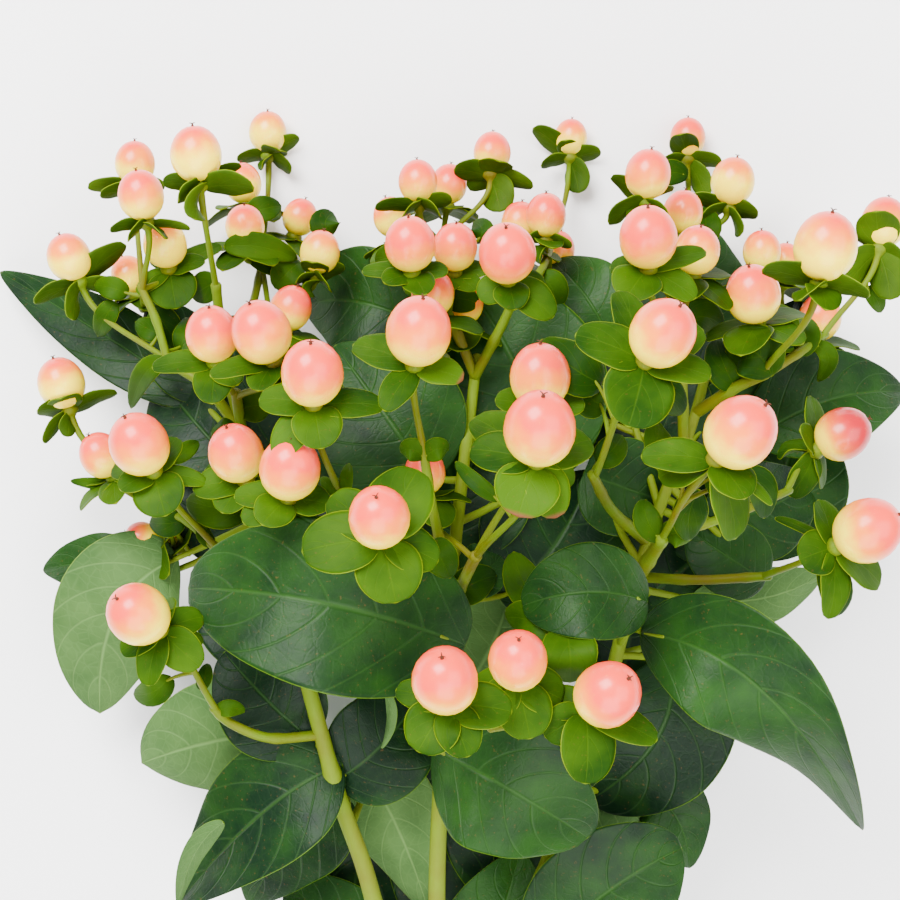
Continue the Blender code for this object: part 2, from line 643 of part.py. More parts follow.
def build_spray(name, members, sepal_green):
    """One spray: its twigs and bracts, and a pedicel with a calyx for each of its berries, in one piece."""
    twigs, own, bracts = split(members)
    solids = [twig_solid(twig, PEDICEL_SIDES, 1) for twig in twigs.values()]
    for berry in own:
        solids.append(sprig_solid(berry, twig_end(twigs[berry.twig])))
    solids += [leaf_solid(bract) for bract in bracts]
    spray = solids.pop(0)
    spray.name = name
    bpy.context.scene.collection.objects.link(spray)
    combine(spray, solids, "UNION")
    cut_clear(spray, [twig_solid(shoot, SHOOT_SIDES, 1, CLEARANCE) for shoot in WOOD])
    settle(spray)
    finish(spray, sepal_green)


def main():
    for obj in list(bpy.data.objects):
        bpy.data.objects.remove(obj)
    peach = material("berry", BERRY_COLOUR, 0.35)
    sepal_green = material("sepal", SEPAL_COLOUR, 0.5)
    leaf_green = material("leaf", LEAF_COLOUR, 0.55)
    for name, members in SPRAYS.items():
        build_spray(name, members, sepal_green)
        for berry in split(members)[1]:
            fruit = berry_solid(berry)
            bpy.context.scene.collection.objects.link(fruit)
            finish(fruit, peach)
    build_branch(leaf_green)


main()
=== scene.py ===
"""The looks of a cut hypericum branch with ripe peach berries, lying on its back on a pale floor.

The branch is modelled finely over its solids: wood, leaf blades, sprays with their sepals, and the
berries with the dried style tips on them. Tables are in millimetres and meshes in metres.
"""

import logging
import math
import random
from dataclasses import dataclass, field
from enum import Enum

import bpy
import numpy as np
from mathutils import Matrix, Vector


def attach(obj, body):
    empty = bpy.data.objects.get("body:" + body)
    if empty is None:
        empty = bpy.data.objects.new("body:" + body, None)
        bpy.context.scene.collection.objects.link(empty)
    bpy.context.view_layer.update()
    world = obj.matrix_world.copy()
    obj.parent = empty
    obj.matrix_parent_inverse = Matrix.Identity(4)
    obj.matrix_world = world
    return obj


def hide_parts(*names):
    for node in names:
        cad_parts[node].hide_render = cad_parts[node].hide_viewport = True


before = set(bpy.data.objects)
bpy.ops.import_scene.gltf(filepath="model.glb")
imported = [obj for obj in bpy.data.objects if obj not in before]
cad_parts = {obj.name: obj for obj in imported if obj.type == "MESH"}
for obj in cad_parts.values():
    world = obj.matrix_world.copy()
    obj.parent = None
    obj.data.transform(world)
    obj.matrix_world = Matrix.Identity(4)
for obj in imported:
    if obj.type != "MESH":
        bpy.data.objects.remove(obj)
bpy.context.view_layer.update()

LOG = logging.getLogger("hypericum")
MM = 0.001
BODY = "root"
BLADE_UV = "blade"
TINY = 1e-9
PHASE_SPAN = 6.28


def put(name: str, data: bpy.types.ID) -> bpy.types.Object:
    """Puts an object with this data in the scene."""
    made = bpy.data.objects.new(name, data)
    bpy.context.scene.collection.objects.link(made)
    return made


def note(mesh: bpy.types.Mesh, name: str, numbers: np.ndarray) -> None:
    """Keeps a number or a vector for each point of a mesh."""
    kind, key = ("FLOAT_VECTOR", "vector") if numbers.ndim == 2 else ("FLOAT", "value")
    made = mesh.attributes.new(name, kind, "POINT")
    made.data.foreach_set(key, numbers.astype(np.float32).ravel())


class Side(Enum):
    """The two sides of a blade, by the material slot that each one takes."""

    UPPER = 0
    UNDER = 1


class Facing(Enum):
    """Whether a calyx shows the camera the upper sides of its sepals or the undersides."""

    TOWARD = 1
    AWAY = -1


@dataclass(frozen=True)
class Sight:
    """The camera over the head, and how a spot seen through it stands for a point of the branch.

    A spot is named by where it shows in a square picture seen from straight above, and by its
    height over the surface in millimetres.
    """

    eye_height: float = 500.0
    focal_pixels: float = 2000.0
    picture_pixels: float = 900.0
    middle: tuple = (1.7, 75.6)
    sensor_mm: float = 36.0
    nearest_metres: float = 0.01

    def place(self, spot: tuple) -> np.ndarray:
        """Finds the point that a spot stands for.

        Args:
            spot: The spot as (px, py, height).

        Returns:
            The point in millimetres, in the part's own frame.
        """
        px, py, height = spot
        scale = (self.eye_height - height) / self.focal_pixels
        half = self.picture_pixels / 2
        return np.array([self.middle[0] + (px - half) * scale,
                         self.middle[1] + (half - py) * scale, height])

    def build(self) -> None:
        """Makes the camera, looking straight down on the head with the tips at the top."""
        data = bpy.data.cameras.new("camera_over_head")
        data.sensor_width = self.sensor_mm
        data.lens = self.focal_pixels * self.sensor_mm / self.picture_pixels
        data.clip_start = self.nearest_metres
        camera = put("camera_over_head", data)
        camera.location = (self.middle[0] * MM, self.middle[1] * MM, self.eye_height * MM)
        bpy.context.scene.camera = camera


SIGHT = Sight()


@dataclass(frozen=True)
class Berry:
    """One berry: where it shows, its height and width, the way its tip points, and its twig."""

    number: int
    px: float
    py: float
    height: float
    width: float
    lean: tuple
    twig: str
    ripeness: float = 0.5


@dataclass(frozen=True)
class Twig:
    """A length of green wood through several spots, with the radius at its base and at its tip."""

    name: str
    spots: tuple
    base_radius: float
    tip_radius: float


@dataclass(frozen=True)
class Leaf:
    """One leaf: three spots along its midrib, its width and the way its upper side faces."""

    name: str
    base: tuple
    bend: tuple
    tip: tuple
    width: float
    face: tuple = (0.0, 0.0, 1.0)
    tip_face: tuple = None
    root: tuple = None
    tone: float = 0.5

    def spine(self) -> list[np.ndarray]:
        """Gives the control points of its midrib."""
        return [SIGHT.place(spot) for spot in (self.base, self.bend, self.tip)]


WOOD = (
    Twig("stem", ((430, 1395, 2.7), (430, 1260, 5), (432, 1130, 14)), 3.2, 2.7),
    Twig("shoot_left",
         ((432, 1135, 14), (400, 1010, 26), (368, 880, 38), (340, 800, 45), (312, 700, 52),
          (285, 600, 52), (262, 520, 48), (238, 415, 44), (230, 388, 43)), 2.3, 1.2),
    Twig("shoot_centre",
         ((432, 1135, 14), (437, 1000, 30), (437, 880, 44), (441, 780, 50), (446, 700, 53),
          (450, 600, 55), (462, 480, 50), (472, 400, 46), (477, 356, 45)), 2.2, 1.1),
    Twig("shoot_right",
         ((432, 1135, 14), (480, 1020, 24), (532, 900, 34), (577, 790, 42), (605, 700, 47),
          (628, 610, 51), (655, 520, 50), (690, 430, 46), (706, 374, 42)), 2.2, 1.1),
)

LEAVES = (
    Leaf("front_left", (466, 646, 64), (330, 590, 100), (188, 588, 66), 36, (0, 0.12, 1)),
    Leaf("front_small", (648, 602, 76), (590, 580, 96), (522, 606, 80), 20,
         (0, 0.25, 1), root=(622, 640, 50)),
    Leaf("right_long", (640, 634, 60), (770, 640, 98), (862, 830, 52), 27,
         (0.1, 0.1, 1), (-0.8, -0.3, 0.6)),
    Leaf("bottom_centre", (432, 748, 58), (500, 780, 84), (588, 838, 62), 30, (-0.1, -0.1, 1)),
    Leaf("bottom_right", (540, 950, 38), (610, 880, 58), (682, 848, 50), 29),
    Leaf("under_right", (560, 790, 36), (610, 800, 42), (668, 806, 30), 25, (0, 0.1, -1)),
    Leaf("right_dark", (668, 655, 42), (690, 740, 46), (590, 800, 38), 32, (0.1, 0, 1)),
    Leaf("right_low_edge", (640, 790, 30), (684, 800, 38), (690, 868, 26), 17, (0.2, 0, 1)),
    Leaf("left_pale", (178, 558, 36), (92, 590, 46), (100, 712, 20), 29, (-0.1, 0, -1)),
    Leaf("left_point", (150, 585, 24), (100, 552, 30), (43, 570, 18), 15, (0, 0.3, 1)),
    Leaf("left_low_pale", (306, 728, 34), (212, 735, 42), (143, 762, 20), 28, (0, 0.1, -1)),
    Leaf("low_left_dark", (343, 765, 46), (265, 790, 54), (178, 905, 30), 27,
         (0, 0.2, 1), (-0.7, 0, 0.7)),
    Leaf("low_left_back", (350, 785, 30), (290, 820, 34), (250, 905, 14), 25),
    Leaf("low_centre_pale", (352, 756, 30), (395, 800, 38), (430, 915, 20), 22, (0.1, 0, -1)),
    Leaf("stem_left", (312, 740, 44), (270, 708, 52), (224, 652, 42), 24),
    Leaf("stem_right", (336, 780, 44), (384, 755, 50), (424, 690, 38), 24),
    Leaf("right_top", (752, 440, 34), (830, 385, 44), (905, 392, 26), 24,
         (0, 0.2, 1), root=(675, 465, 48)),
    Leaf("right_blue", (690, 440, 36), (740, 402, 38), (822, 372, 26), 16,
         (0, 0.3, 1), root=(668, 482, 49)),
    Leaf("centre_tall", (556, 480, 40), (520, 350, 42), (466, 285, 34), 38, root=(458, 530, 52)),
    Leaf("top_left", (414, 322, 26), (350, 288, 30), (303, 306, 12), 26, root=(468, 430, 47)),
    Leaf("top_right", (612, 348, 34), (592, 292, 42), (553, 262, 24), 20, root=(660, 505, 49)),
    Leaf("right_tall", (712, 342, 22), (698, 290, 16), (716, 232, 5), 22),
    Leaf("left_long", (205, 402, 28), (120, 342, 26), (0, 272, 6), 17, root=(246, 450, 45)),
    Leaf("centre_left", (432, 482, 46), (390, 420, 52), (335, 345, 38), 34),
    Leaf("centre_right", (584, 472, 46), (622, 488, 52), (668, 502, 42), 22, root=(640, 570, 51)),
    Leaf("right_oval", (766, 580, 42), (730, 560, 50), (690, 530, 42), 17, root=(668, 482, 49)),
    Leaf("right_pale", (690, 600, 38), (770, 610, 40), (824, 572, 24), 14, (0, 0.2, -1)),
    Leaf("right_back", (700, 520, 42), (770, 520, 46), (812, 478, 28), 23),
    Leaf("centre_low", (454, 572, 53), (490, 575, 58), (500, 556, 52), 12),
    Leaf("left_back", (240, 470, 34), (190, 420, 36), (160, 378, 20), 24, root=(262, 520, 48)),
)

SPRAYS = {
    "spray_left_rim": (
        Twig("a", ((236, 424, 44), (205, 386, 44), (168, 362, 42)), 1.3, 1.1),
        Twig("b", ((168, 362, 42), (156, 320, 42), (140, 285, 42)), 1.0, 0.9),
        Berry(1, 69, 257, 34, 10.3, (-0.35, 0.9, 0.25), "a"),
        Berry(2, 135, 163, 34, 9.4, (0.0, 0.98, 0.1), "b"),
        Berry(3, 141, 195, 54, 10.3, (-0.15, 0.93, 0.3), "b"),
        Berry(8, 165, 244, 40, 10.1, (-0.1, 0.88, 0.45), "b"),
        Leaf("curl", (168, 364, 41), (142, 358, 44), (131, 408, 26), 5),
    ),
    "spray_top_left": (
        Twig("a", ((230, 390, 43), (222, 340, 44), (216, 285, 50)), 1.3, 1.1),
        Twig("b", ((222, 340, 44), (250, 310, 32), (262, 262, 22)), 1.1, 0.9),
        Berry(4, 196, 154, 66, 11.2, (-0.1, 0.97, 0.2), "a"),
        Berry(5, 268, 132, 4.4, 9.4, (0.0, 0.98, 0.2), "b"),
        Berry(7, 245, 226, 34, 9.2, (0.0, 0.93, 0.35), "b"),
        Berry(13, 320, 252, 36, 9.3, (0.2, 0.93, 0.25), "b"),
    ),
    "spray_left_pair": (
        Twig("a", ((250, 470, 46), (240, 420, 56), (236, 392, 62)), 1.3, 1.1),
        Berry(10, 212, 334, 72, 11.3, (-0.05, 0.88, 0.48), "a"),
        Berry(11, 261, 332, 82, 12.5, (-0.3, 0.82, 0.48), "a"),
    ),
    "spray_left_middle": (
        Twig("a", ((276, 570, 52), (264, 530, 60), (258, 505, 64)), 1.3, 1.1),
        Twig("b", ((276, 570, 52), (330, 530, 62), (346, 500, 70)), 1.3, 1.1),
        Berry(19, 236, 453, 76, 11.8, (-0.25, 0.82, 0.5), "a"),
        Berry(20, 290, 468, 90, 12.6, (0.1, 0.83, 0.55), "a"),
        Berry(15, 312, 373, 96, 12.7, (0.0, 0.83, 0.56), "b"),
    ),
    "spray_far_left": (
        Twig("a", ((290, 618, 52), (250, 580, 54), (214, 546, 56)), 1.3, 1.1),
        Twig("b", ((214, 546, 56), (186, 520, 50), (160, 512, 44)), 1.1, 0.9),
        Berry(16, 61, 383, 40, 10.9, (-0.25, 0.9, 0.2), "b"),
        Berry(17, 139, 444, 76, 12.7, (-0.35, 0.8, 0.5), "a"),
        Berry(18, 101, 455, 48, 9.8, (-0.45, 0.82, 0.35), "b"),
    ),
    "spray_low_left": (
        Twig("a", ((320, 735, 50), (270, 738, 54), (232, 724, 57), (213, 708, 60)), 1.2, 1.0),
        Berry(21, 138, 614, 82, 12.9, (-0.5, 0.5, 0.7), "a"),
        Leaf("bract", (216, 712, 59), (230, 704, 62), (244, 712, 56), 3.4),
    ),
    "spray_centre": (
        Twig("a", ((452, 606, 55), (446, 570, 66), (432, 545, 80)), 1.4, 1.2),
        Twig("b", ((452, 606, 55), (462, 584, 66), (476, 556, 76)), 1.4, 1.2),
        Twig("c", ((446, 570, 66), (432, 505, 78), (424, 455, 82)), 1.1, 1.0),
        Berry(24, 379, 517, 112, 12.0, (-0.05, 0.6, 0.8), "a"),
        Berry(28, 419, 331, 96, 13.3, (0.12, 0.87, 0.48), "c"),
        Berry(42, 540, 376, 90, 12.5, (0.0, 0.93, 0.3), "b"),
        Berry(43, 540, 428, 113, 14.1, (0.05, 0.78, 0.62), "b"),
        Leaf("bract_left", (424, 458, 82), (412, 444, 86), (401, 452, 82), 4.5),
        Leaf("bract_right", (424, 458, 82), (438, 444, 86), (448, 450, 82), 4.5),
    ),
    "spray_low_centre": (
        Twig("a", ((596, 735, 45), (575, 724, 66), (552, 712, 80)), 1.4, 1.2),
        Twig("b", ((552, 712, 80), (520, 722, 88), (490, 728, 92)), 1.1, 1.0),
        Berry(25, 445, 680, 112, 13.0, (-0.08, 0.68, 0.73), "b"),
        Berry(26, 518, 660, 104, 11.8, (0.0, 0.68, 0.73), "a"),
        Berry(27, 608, 694, 104, 13.1, (0.5, 0.5, 0.7), "a"),
    ),
    "spray_top_centre": (
        Twig("a", ((475, 376, 46), (458, 335, 48), (446, 308, 48)), 1.2, 1.0),
        Twig("b", ((446, 308, 48), (440, 270, 36), (440, 240, 30)), 1.0, 0.9),
        Twig("c", ((475, 376, 46), (497, 335, 52), (513, 302, 54)), 1.2, 1.0),
        Twig("d", ((513, 302, 54), (540, 272, 46), (550, 248, 32)), 1.0, 0.9),
        Berry(29, 410, 244, 68, 11.1, (-0.05, 0.9, 0.4), "a"),
        Berry(30, 455, 247, 54, 10.0, (0.05, 0.92, 0.35), "a"),
        Berry(31, 418, 181, 42, 9.0, (-0.05, 1.0, 0.05), "b"),
        Berry(33, 492, 152, 26, 8.9, (0.05, 0.97, -0.1), "b"),
        Berry(34, 507, 253, 78, 12.2, (-0.05, 0.72, 0.68), "c"),
        Berry(35, 546, 215, 42, 9.3, (0.0, 0.95, 0.25), "d"),
        Berry(36, 571, 137, 3.9, 8.2, (0.05, 0.95, 0.1), "d"),
    ),
    "spray_right_top": (
        Twig("a", ((684, 446, 47), (682, 380, 56), (680, 318, 54)), 1.3, 1.1),
        Twig("b", ((680, 318, 54), (688, 270, 36), (698, 236, 24)), 1.0, 0.9),
        Berry(45, 648, 174, 60, 10.1, (0.12, 0.95, 0.25), "a"),
        Berry(46, 648, 237, 84, 12.2, (-0.05, 0.86, 0.5), "a"),
        Berry(47, 683, 212, 42, 9.2, (0.1, 0.97, 0.15), "b"),
        Berry(48, 697, 250, 66, 9.9, (0.1, 0.85, 0.45), "a"),
        Berry(49, 688, 137, 4.1, 8.8, (0.0, 0.97, 0.1), "b"),
        Berry(50, 733, 181, 26, 10.4, (0.15, 0.95, 0.2), "b"),
    ),
    "spray_right_rim": (
        Twig("a", ((697, 412, 45), (735, 388, 53), (766, 374, 57)), 1.4, 1.2),
        Twig("b", ((766, 374, 57), (800, 352, 52), (826, 334, 46)), 1.1, 0.9),
        Berry(52, 762, 251, 30, 9.0, (-0.05, 0.95, 0.2), "a"),
        Berry(54, 753, 294, 62, 12.1, (-0.2, 0.85, 0.45), "a"),
        Berry(55, 826, 246, 84, 13.3, (0.12, 0.92, 0.35), "a"),
        Berry(56, 884, 222, 44, 10.6, (0.2, 0.93, -0.1), "b"),
        Berry(57, 820, 317, 26, 10.2, (0.1, 0.88, 0.35), "b"),
    ),
    "spray_right_high": (
        Twig("a", ((648, 543, 50), (612, 510, 62), (592, 474, 74)), 1.3, 1.1),
        Berry(44, 663, 333, 108, 13.0, (0.4, 0.7, 0.58), "a"),
    ),
    "spray_right_middle": (
        Twig("a", ((638, 577, 51), (650, 558, 62), (662, 538, 76)), 1.7, 1.5),
        Twig("b", ((638, 577, 51), (700, 580, 56), (770, 576, 62)), 1.2, 1.0),
        Twig("c", ((662, 538, 76), (740, 512, 70), (790, 490, 62)), 1.0, 0.9),
        Berry(58, 741, 432, 112, 13.8, (0.55, 0.68, 0.48), "a"),
        Berry(59, 843, 434, 60, 11.6, (0.84, 0.52, 0.15), "c"),
        Berry(60, 868, 530, 84, 13.5, (0.8, 0.46, 0.4), "b"),
        Leaf("bract_left", (660, 540, 75), (640, 518, 82), (646, 500, 78), 5.5),
        Leaf("bract_right", (664, 538, 75), (676, 528, 82), (690, 540, 76), 5.5),
    ),
}

# Leaves and berries that only fill the shaded heart of the head or show as slivers between others.
# Most of these leaves carry a low tone: painted shade that darkens them in the heart.
HEART_LEAVES = (
    Leaf("heart_centre", (500, 600, 40), (560, 560, 42), (592, 470, 34), 36, tone=0.08),
    Leaf("heart_left", (296, 520, 34), (300, 440, 36), (330, 378, 28), 32, tone=0.08),
    Leaf("heart_low", (456, 700, 34), (500, 650, 36), (510, 588, 26), 30, (0, 0, -1), tone=0.6),
    Leaf("heart_right", (690, 470, 34), (640, 420, 36), (600, 360, 28), 32, tone=0.08),
    Leaf("heart_far_right", (760, 560, 30), (790, 470, 34), (800, 400, 22), 30, tone=0.35),
    Leaf("heart_top", (470, 380, 34), (440, 330, 34), (400, 300, 26), 26, tone=0.08),
    Leaf("heart_top_right", (590, 420, 36), (610, 360, 36), (600, 290, 24), 30, tone=0.08),
    Leaf("heart_mid_left", (390, 560, 44), (350, 500, 46), (300, 470, 36), 32, tone=0.05),
    Leaf("heart_mid", (450, 560, 40), (470, 480, 40), (420, 410, 30), 36, tone=0.2),
    Leaf("heart_low_left", (300, 640, 40), (250, 600, 40), (200, 560, 26), 30, tone=0.08),
    Leaf("heart_east", (640, 600, 36), (690, 570, 40), (735, 515, 28), 32, tone=0.1),
    Leaf("heart_north_east", (660, 540, 36), (705, 505, 38), (775, 455, 26), 32, tone=0.1),
    Leaf("heart_south_east", (655, 645, 34), (700, 625, 36), (750, 585, 22), 22, tone=0.1),
    Leaf("heart_south", (620, 680, 34), (640, 620, 36), (620, 540, 28), 32, tone=0.05),
    Leaf("heart_west", (262, 560, 30), (225, 500, 32), (215, 420, 24), 30, tone=0.1),
    Leaf("heart_north_west", (232, 430, 30), (262, 380, 32), (300, 330, 20), 26, tone=0.1),
    Leaf("heart_north", (486, 460, 30), (520, 400, 32), (560, 330, 20), 30, tone=0.1),
    Leaf("heart_crown", (470, 400, 28), (430, 350, 30), (360, 330, 16), 26, tone=0.1),
    Leaf("heart_crown_right", (700, 400, 28), (660, 350, 30), (630, 280, 16), 26, tone=0.15),
    Leaf("heart_rim_right", (740, 400, 30), (790, 360, 34), (800, 300, 18), 20, tone=0.2),
    Leaf("heart_rim_left", (215, 400, 28), (180, 350, 30), (150, 300, 14), 18, tone=0.15),
    Leaf("bottom_left", (398, 1000, 26), (340, 930, 32), (285, 880, 16), 25, tone=0.4),
    Leaf("bottom_middle", (470, 1000, 26), (500, 930, 34), (520, 850, 26), 26, tone=0.85),
    Leaf("low_shade_left", (372, 770, 20), (360, 850, 24), (345, 960, 12), 26, tone=0.1),
    Leaf("low_shade_middle", (430, 740, 20), (442, 850, 24), (446, 980, 14), 26, tone=0.0),
    Leaf("low_shade_centre", (470, 760, 18), (520, 850, 22), (575, 930, 12), 32, tone=0.05),
    Leaf("low_right_shade", (640, 700, 30), (600, 730, 34), (560, 700, 24), 30, tone=0.2),
)

# Margins that fold over and show their underside.
FOLDED_MARGINS = (
    Leaf("low_left_fold", (224, 822, 53), (188, 842, 50), (178, 906, 33), 5,
         (-0.3, 0, -1), tone=0.4),
    Leaf("front_curl", (386, 690, 62), (398, 716, 62), (383, 747, 54), 2.4, (0.6, 0, -1), tone=0.9),
)

HEART_BERRIES = {
    "spray_left_rim": (
        Berry(109, 129, 275, 24, 8.6, (-0.3, 0.9, 0.2), "b", 0.3),
    ),
    "spray_top_left": (
        Berry(106, 243, 183, 14, 9.0, (-0.1, 0.98, 0.1), "b", 0.4),
        Berry(112, 300, 217, 14, 8.4, (0.3, 0.93, 0.1), "b", 0.6),
        Berry(114, 291, 308, 42, 9.6, (0.3, 0.9, 0.2), "b", 0.7),
    ),
    "spray_far_left": (
        Berry(122, 142, 537, 34, 7.2, (-0.9, 0.3, 0.1), "b", 0.7),
        Berry(123, 163, 537, 30, 6.8, (-0.7, 0.5, 0.1), "b", 0.7),
    ),
    "spray_top_centre": (
        Berry(132, 449, 184, 22, 8.8, (0.1, 0.97, 0.0), "b", 0.9),
        Berry(137, 392, 217, 34, 8.8, (-0.3, 0.9, 0.1), "a", 0.5),
        Berry(138, 433, 293, 58, 9.6, (0.0, 0.9, 0.3), "a", 0.7),
        Berry(139, 463, 303, 40, 9.4, (0.1, 0.9, 0.2), "a", 0.8),
        Berry(140, 520, 222, 34, 8.8, (0.1, 0.95, 0.1), "d", 0.6),
        Berry(141, 557, 250, 22, 8.6, (0.2, 0.9, 0.1), "d", 0.8),
    ),
    "spray_right_rim": (
        Berry(153, 785, 262, 22, 8.4, (0.1, 0.95, 0.1), "b", 0.4),
    ),
    "spray_centre": (
        Berry(162, 425, 472, 64, 9.0, (0.0, 0.95, 0.2), "b", 0.8),
    ),
}

# How ripe each berry of the solids looks, from 0 for cream to 1 for salmon pink, and more for red.
RIPENESS = {
    1: 0.4, 2: 0.55, 3: 0.65, 4: 0.45, 5: 0.3, 7: 0.5, 8: 0.1, 10: 0.8, 11: 0.75, 13: 0.3,
    15: 0.8, 16: 0.4, 17: 0.75, 18: 0.7, 19: 0.65, 20: 0.7, 21: 0.45, 24: 0.55, 25: 0.75,
    26: 0.65, 27: 0.8, 28: 0.7, 29: 0.95, 30: 0.8, 31: 0.8, 33: 0.85, 34: 1.0, 35: 0.9, 36: 0.5,
    42: 0.75, 43: 0.7, 44: 0.6, 45: 0.75, 46: 0.9, 47: 0.7, 48: 0.4, 49: 0.9, 50: 0.35, 52: 0.5,
    54: 0.55, 55: 0.4, 56: 0.7, 57: 0.6, 58: 0.7, 59: 1.6, 60: 0.75,
}

# Where the sepals of the berries in front lie in the picture: each tip as (px, py), how far it
# stands above the calyx foot in mm, and the sepal's width in mm. The other berries share one rule.
SEPAL_TIPS = {
    1: ((126, 245, 0, 7.5), (34, 303, 3, 5.5), (72, 320, 4, 6),
        (120, 292, -2, 5.5), (58, 268, -6, 6)),
    2: ((88, 188, 0, 5), (100, 196, 3, 4.5), (140, 205, 4, 5), (165, 186, 0, 5), (130, 176, -5, 5)),
    3: ((110, 231, 2, 4), (190, 229, 0, 3), (128, 240, 4, 5.5),
        (165, 238, 5, 5), (150, 205, -6, 6)),
    4: ((163, 184, 0, 6), (254, 188, 3, 8), (195, 220, 5, 8), (241, 166, -3, 4), (178, 200, 4, 7)),
    5: ((237, 160, 1, 4.5), (299, 137, 2, 5), (291, 172, 2, 5.5),
        (262, 168, 3, 5), (280, 150, 6, 6)),
    8: ((176, 309, 3, 10.5), (222, 247, -1, 5), (138, 294, 2, 4.5),
        (205, 262, 2, 5), (160, 255, -8, 6)),
    10: ((152, 368, 1, 5.5), (212, 404, 6, 8), (186, 358, -4, 6),
         (238, 385, 5, 6), (220, 345, -9, 7)),
    11: ((210, 376, 4, 5), (258, 391, 6, 7), (290, 392, 4, 7),
         (310, 365, -2, 6), (262, 345, -9, 7)),
    13: ((312, 262, 8, 6), (296, 282, 3, 5.5), (330, 290, 4, 6),
         (345, 268, 0, 5), (308, 296, 3, 5)),
    15: ((321, 449, 5, 9.5), (384, 407, 0, 6.5), (259, 400, -2, 7.5),
         (277, 458, 3, 7), (330, 380, -10, 8)),
    16: ((37, 411, 4, 6.5), (117, 393, -3, 5), (44, 443, 3, 4), (68, 437, 2, 4), (60, 398, 7, 7.5)),
    17: ((166, 516, 4, 10.5), (177, 438, -5, 6.5), (206, 483, 0, 4),
         (120, 490, 3, 6), (112, 470, -6, 6)),
    19: ((193, 490, 0, 7.5), (222, 513, 4, 8), (205, 470, -6, 6.5),
         (268, 503, 3, 6.5), (240, 465, -9, 7.5)),
    20: ((234, 497, 1, 6), (243, 523, 3, 6.5), (262, 525, 5, 8),
         (330, 505, 0, 7), (300, 480, -10, 8)),
    21: ((121, 652, -2, 6), (148, 686, 2, 6.5), (200, 667, 0, 8),
         (203, 617, -4, 6.5), (165, 600, -10, 7)),
    24: ((302, 552, -1, 12), (396, 603, 1, 12.4), (438, 562, -2, 8.5),
         (418, 470, -6, 12.5), (331, 496, -6, 9)),
    25: ((396, 690, -4, 6), (418, 752, 2, 10.5), (468, 757, 3, 8.5),
         (512, 712, 0, 9), (448, 672, -11, 8)),
    26: ((530, 739, 2, 10.5), (562, 700, -2, 9), (487, 715, 0, 7),
         (515, 650, -9, 8), (472, 690, -5, 6.5)),
    27: ((657, 741, 2, 6.5), (585, 784, 3, 11), (545, 737, 0, 7.5),
         (545, 700, -4, 7), (600, 680, -10, 7.5)),
    28: ((353, 345, -4, 8), (384, 411, 5, 6), (463, 380, 2, 6.5),
         (440, 350, -10, 8), (395, 350, -10, 8)),
    29: ((362, 272, 0, 4.5), (384, 283, 4, 5.5), (425, 295, 6, 6.5),
         (448, 272, 1, 5), (405, 256, -8, 6.5)),
    30: ((475, 291, 4, 6), (440, 292, 5, 6), (490, 270, 0, 5),
         (420, 280, -2, 5), (460, 260, -7, 5.5)),
    31: ((375, 208, 1, 4), (402, 218, 6, 6.5), (440, 215, 5, 7),
         (452, 200, 0, 5), (420, 196, -6, 5.5)),
    33: ((500, 161, 8, 7.5), (454, 170, 2, 6), (533, 187, 2, 4.5),
         (500, 212, 3, 8), (470, 190, -4, 5)),
    34: ((553, 318, 2, 7.5), (545, 285, -3, 6), (480, 300, 0, 6.5),
         (515, 310, 4, 7), (500, 262, -8, 7)),
    35: ((552, 248, 7, 6), (528, 236, 3, 5), (572, 246, 2, 4.5),
         (540, 262, 4, 5.5), (556, 230, -5, 5)),
    36: ((533, 128, 3, 6), (601, 152, 2, 5.5), (579, 193, 2, 6.5),
         (541, 166, 3, 4.5), (566, 140, 5, 5)),
    42: ((495, 400, 0, 7), (560, 445, 4, 6), (585, 405, 0, 7), (525, 445, 3, 7), (545, 395, -9, 7)),
    43: ((470, 450, -4, 9), (518, 517, 3, 12), (556, 518, 1, 8),
         (474, 418, -12, 9.5), (590, 440, -8, 9)),
    44: ((575, 335, 0, 9.5), (618, 291, -8, 7.5), (628, 427, 4, 13.5),
         (711, 377, 2, 7), (703, 330, -6, 7.5)),
    45: ((611, 178, -2, 5.5), (608, 222, 3, 8), (668, 213, 4, 4),
         (640, 225, 5, 6), (672, 190, -5, 5)),
    46: ((626, 299, 5, 10), (695, 299, 3, 6.5), (706, 252, -3, 5),
         (610, 268, -2, 6), (650, 250, -9, 7)),
    49: ((680, 134, 9, 6.5), (722, 163, 3, 5.5), (652, 172, 3, 5.5),
         (706, 197, 2, 5.5), (690, 150, 1, 5)),
    50: ((758, 216, 2, 6), (740, 236, 4, 5.5), (700, 222, 3, 6),
         (690, 198, 0, 5), (722, 196, -6, 5.5)),
    55: ((762, 270, 2, 8.5), (826, 310, 7, 7.5), (870, 296, 4, 7),
         (800, 300, 6, 7), (850, 262, -9, 7)),
    56: ((876, 211, 8, 9), (848, 284, 3, 8), (890, 300, 2, 8), (900, 262, 2, 6), (858, 240, -6, 6)),
    58: ((641, 457, -1, 7), (659, 478, -6, 8), (745, 499, 4, 9.5),
         (735, 539, -8, 10.5), (772, 505, 0, 2.6)),
    59: ((789, 496, 0, 7), (778, 452, -6, 9.5), (810, 396, -5, 6.5),
         (822, 488, -5, 5), (800, 430, 6, 6)),
    60: ((799, 560, 2, 9), (828, 619, 0, 7.5), (880, 584, -7, 9),
         (818, 500, -3, 7), (775, 518, -4, 2.2)),
}

# Leaves of the solids that the picture shows lighter or darker than the rest.
# Partly painted shade: the low tones darken leaves that lie back under others, such as right_dark.
LEAF_TONES_AND_SHADE = {
    "low_left_dark": 0.2, "stem_left": 0.0, "stem_right": 0.0, "right_dark": 0.1,
    "low_left_back": 0.4, "left_back": 0.1, "right_back": 0.3, "bottom_centre": 0.58,
    "bottom_right": 0.45, "left_long": 0.3, "top_right": 0.75, "centre_tall": 0.6,
}

# The berries that turn the undersides of their sepals to the camera.
TURNED_AWAY = {1, 2, 3, 4, 5, 13, 16, 31, 33, 35, 36, 45, 49, 50, 55, 56}

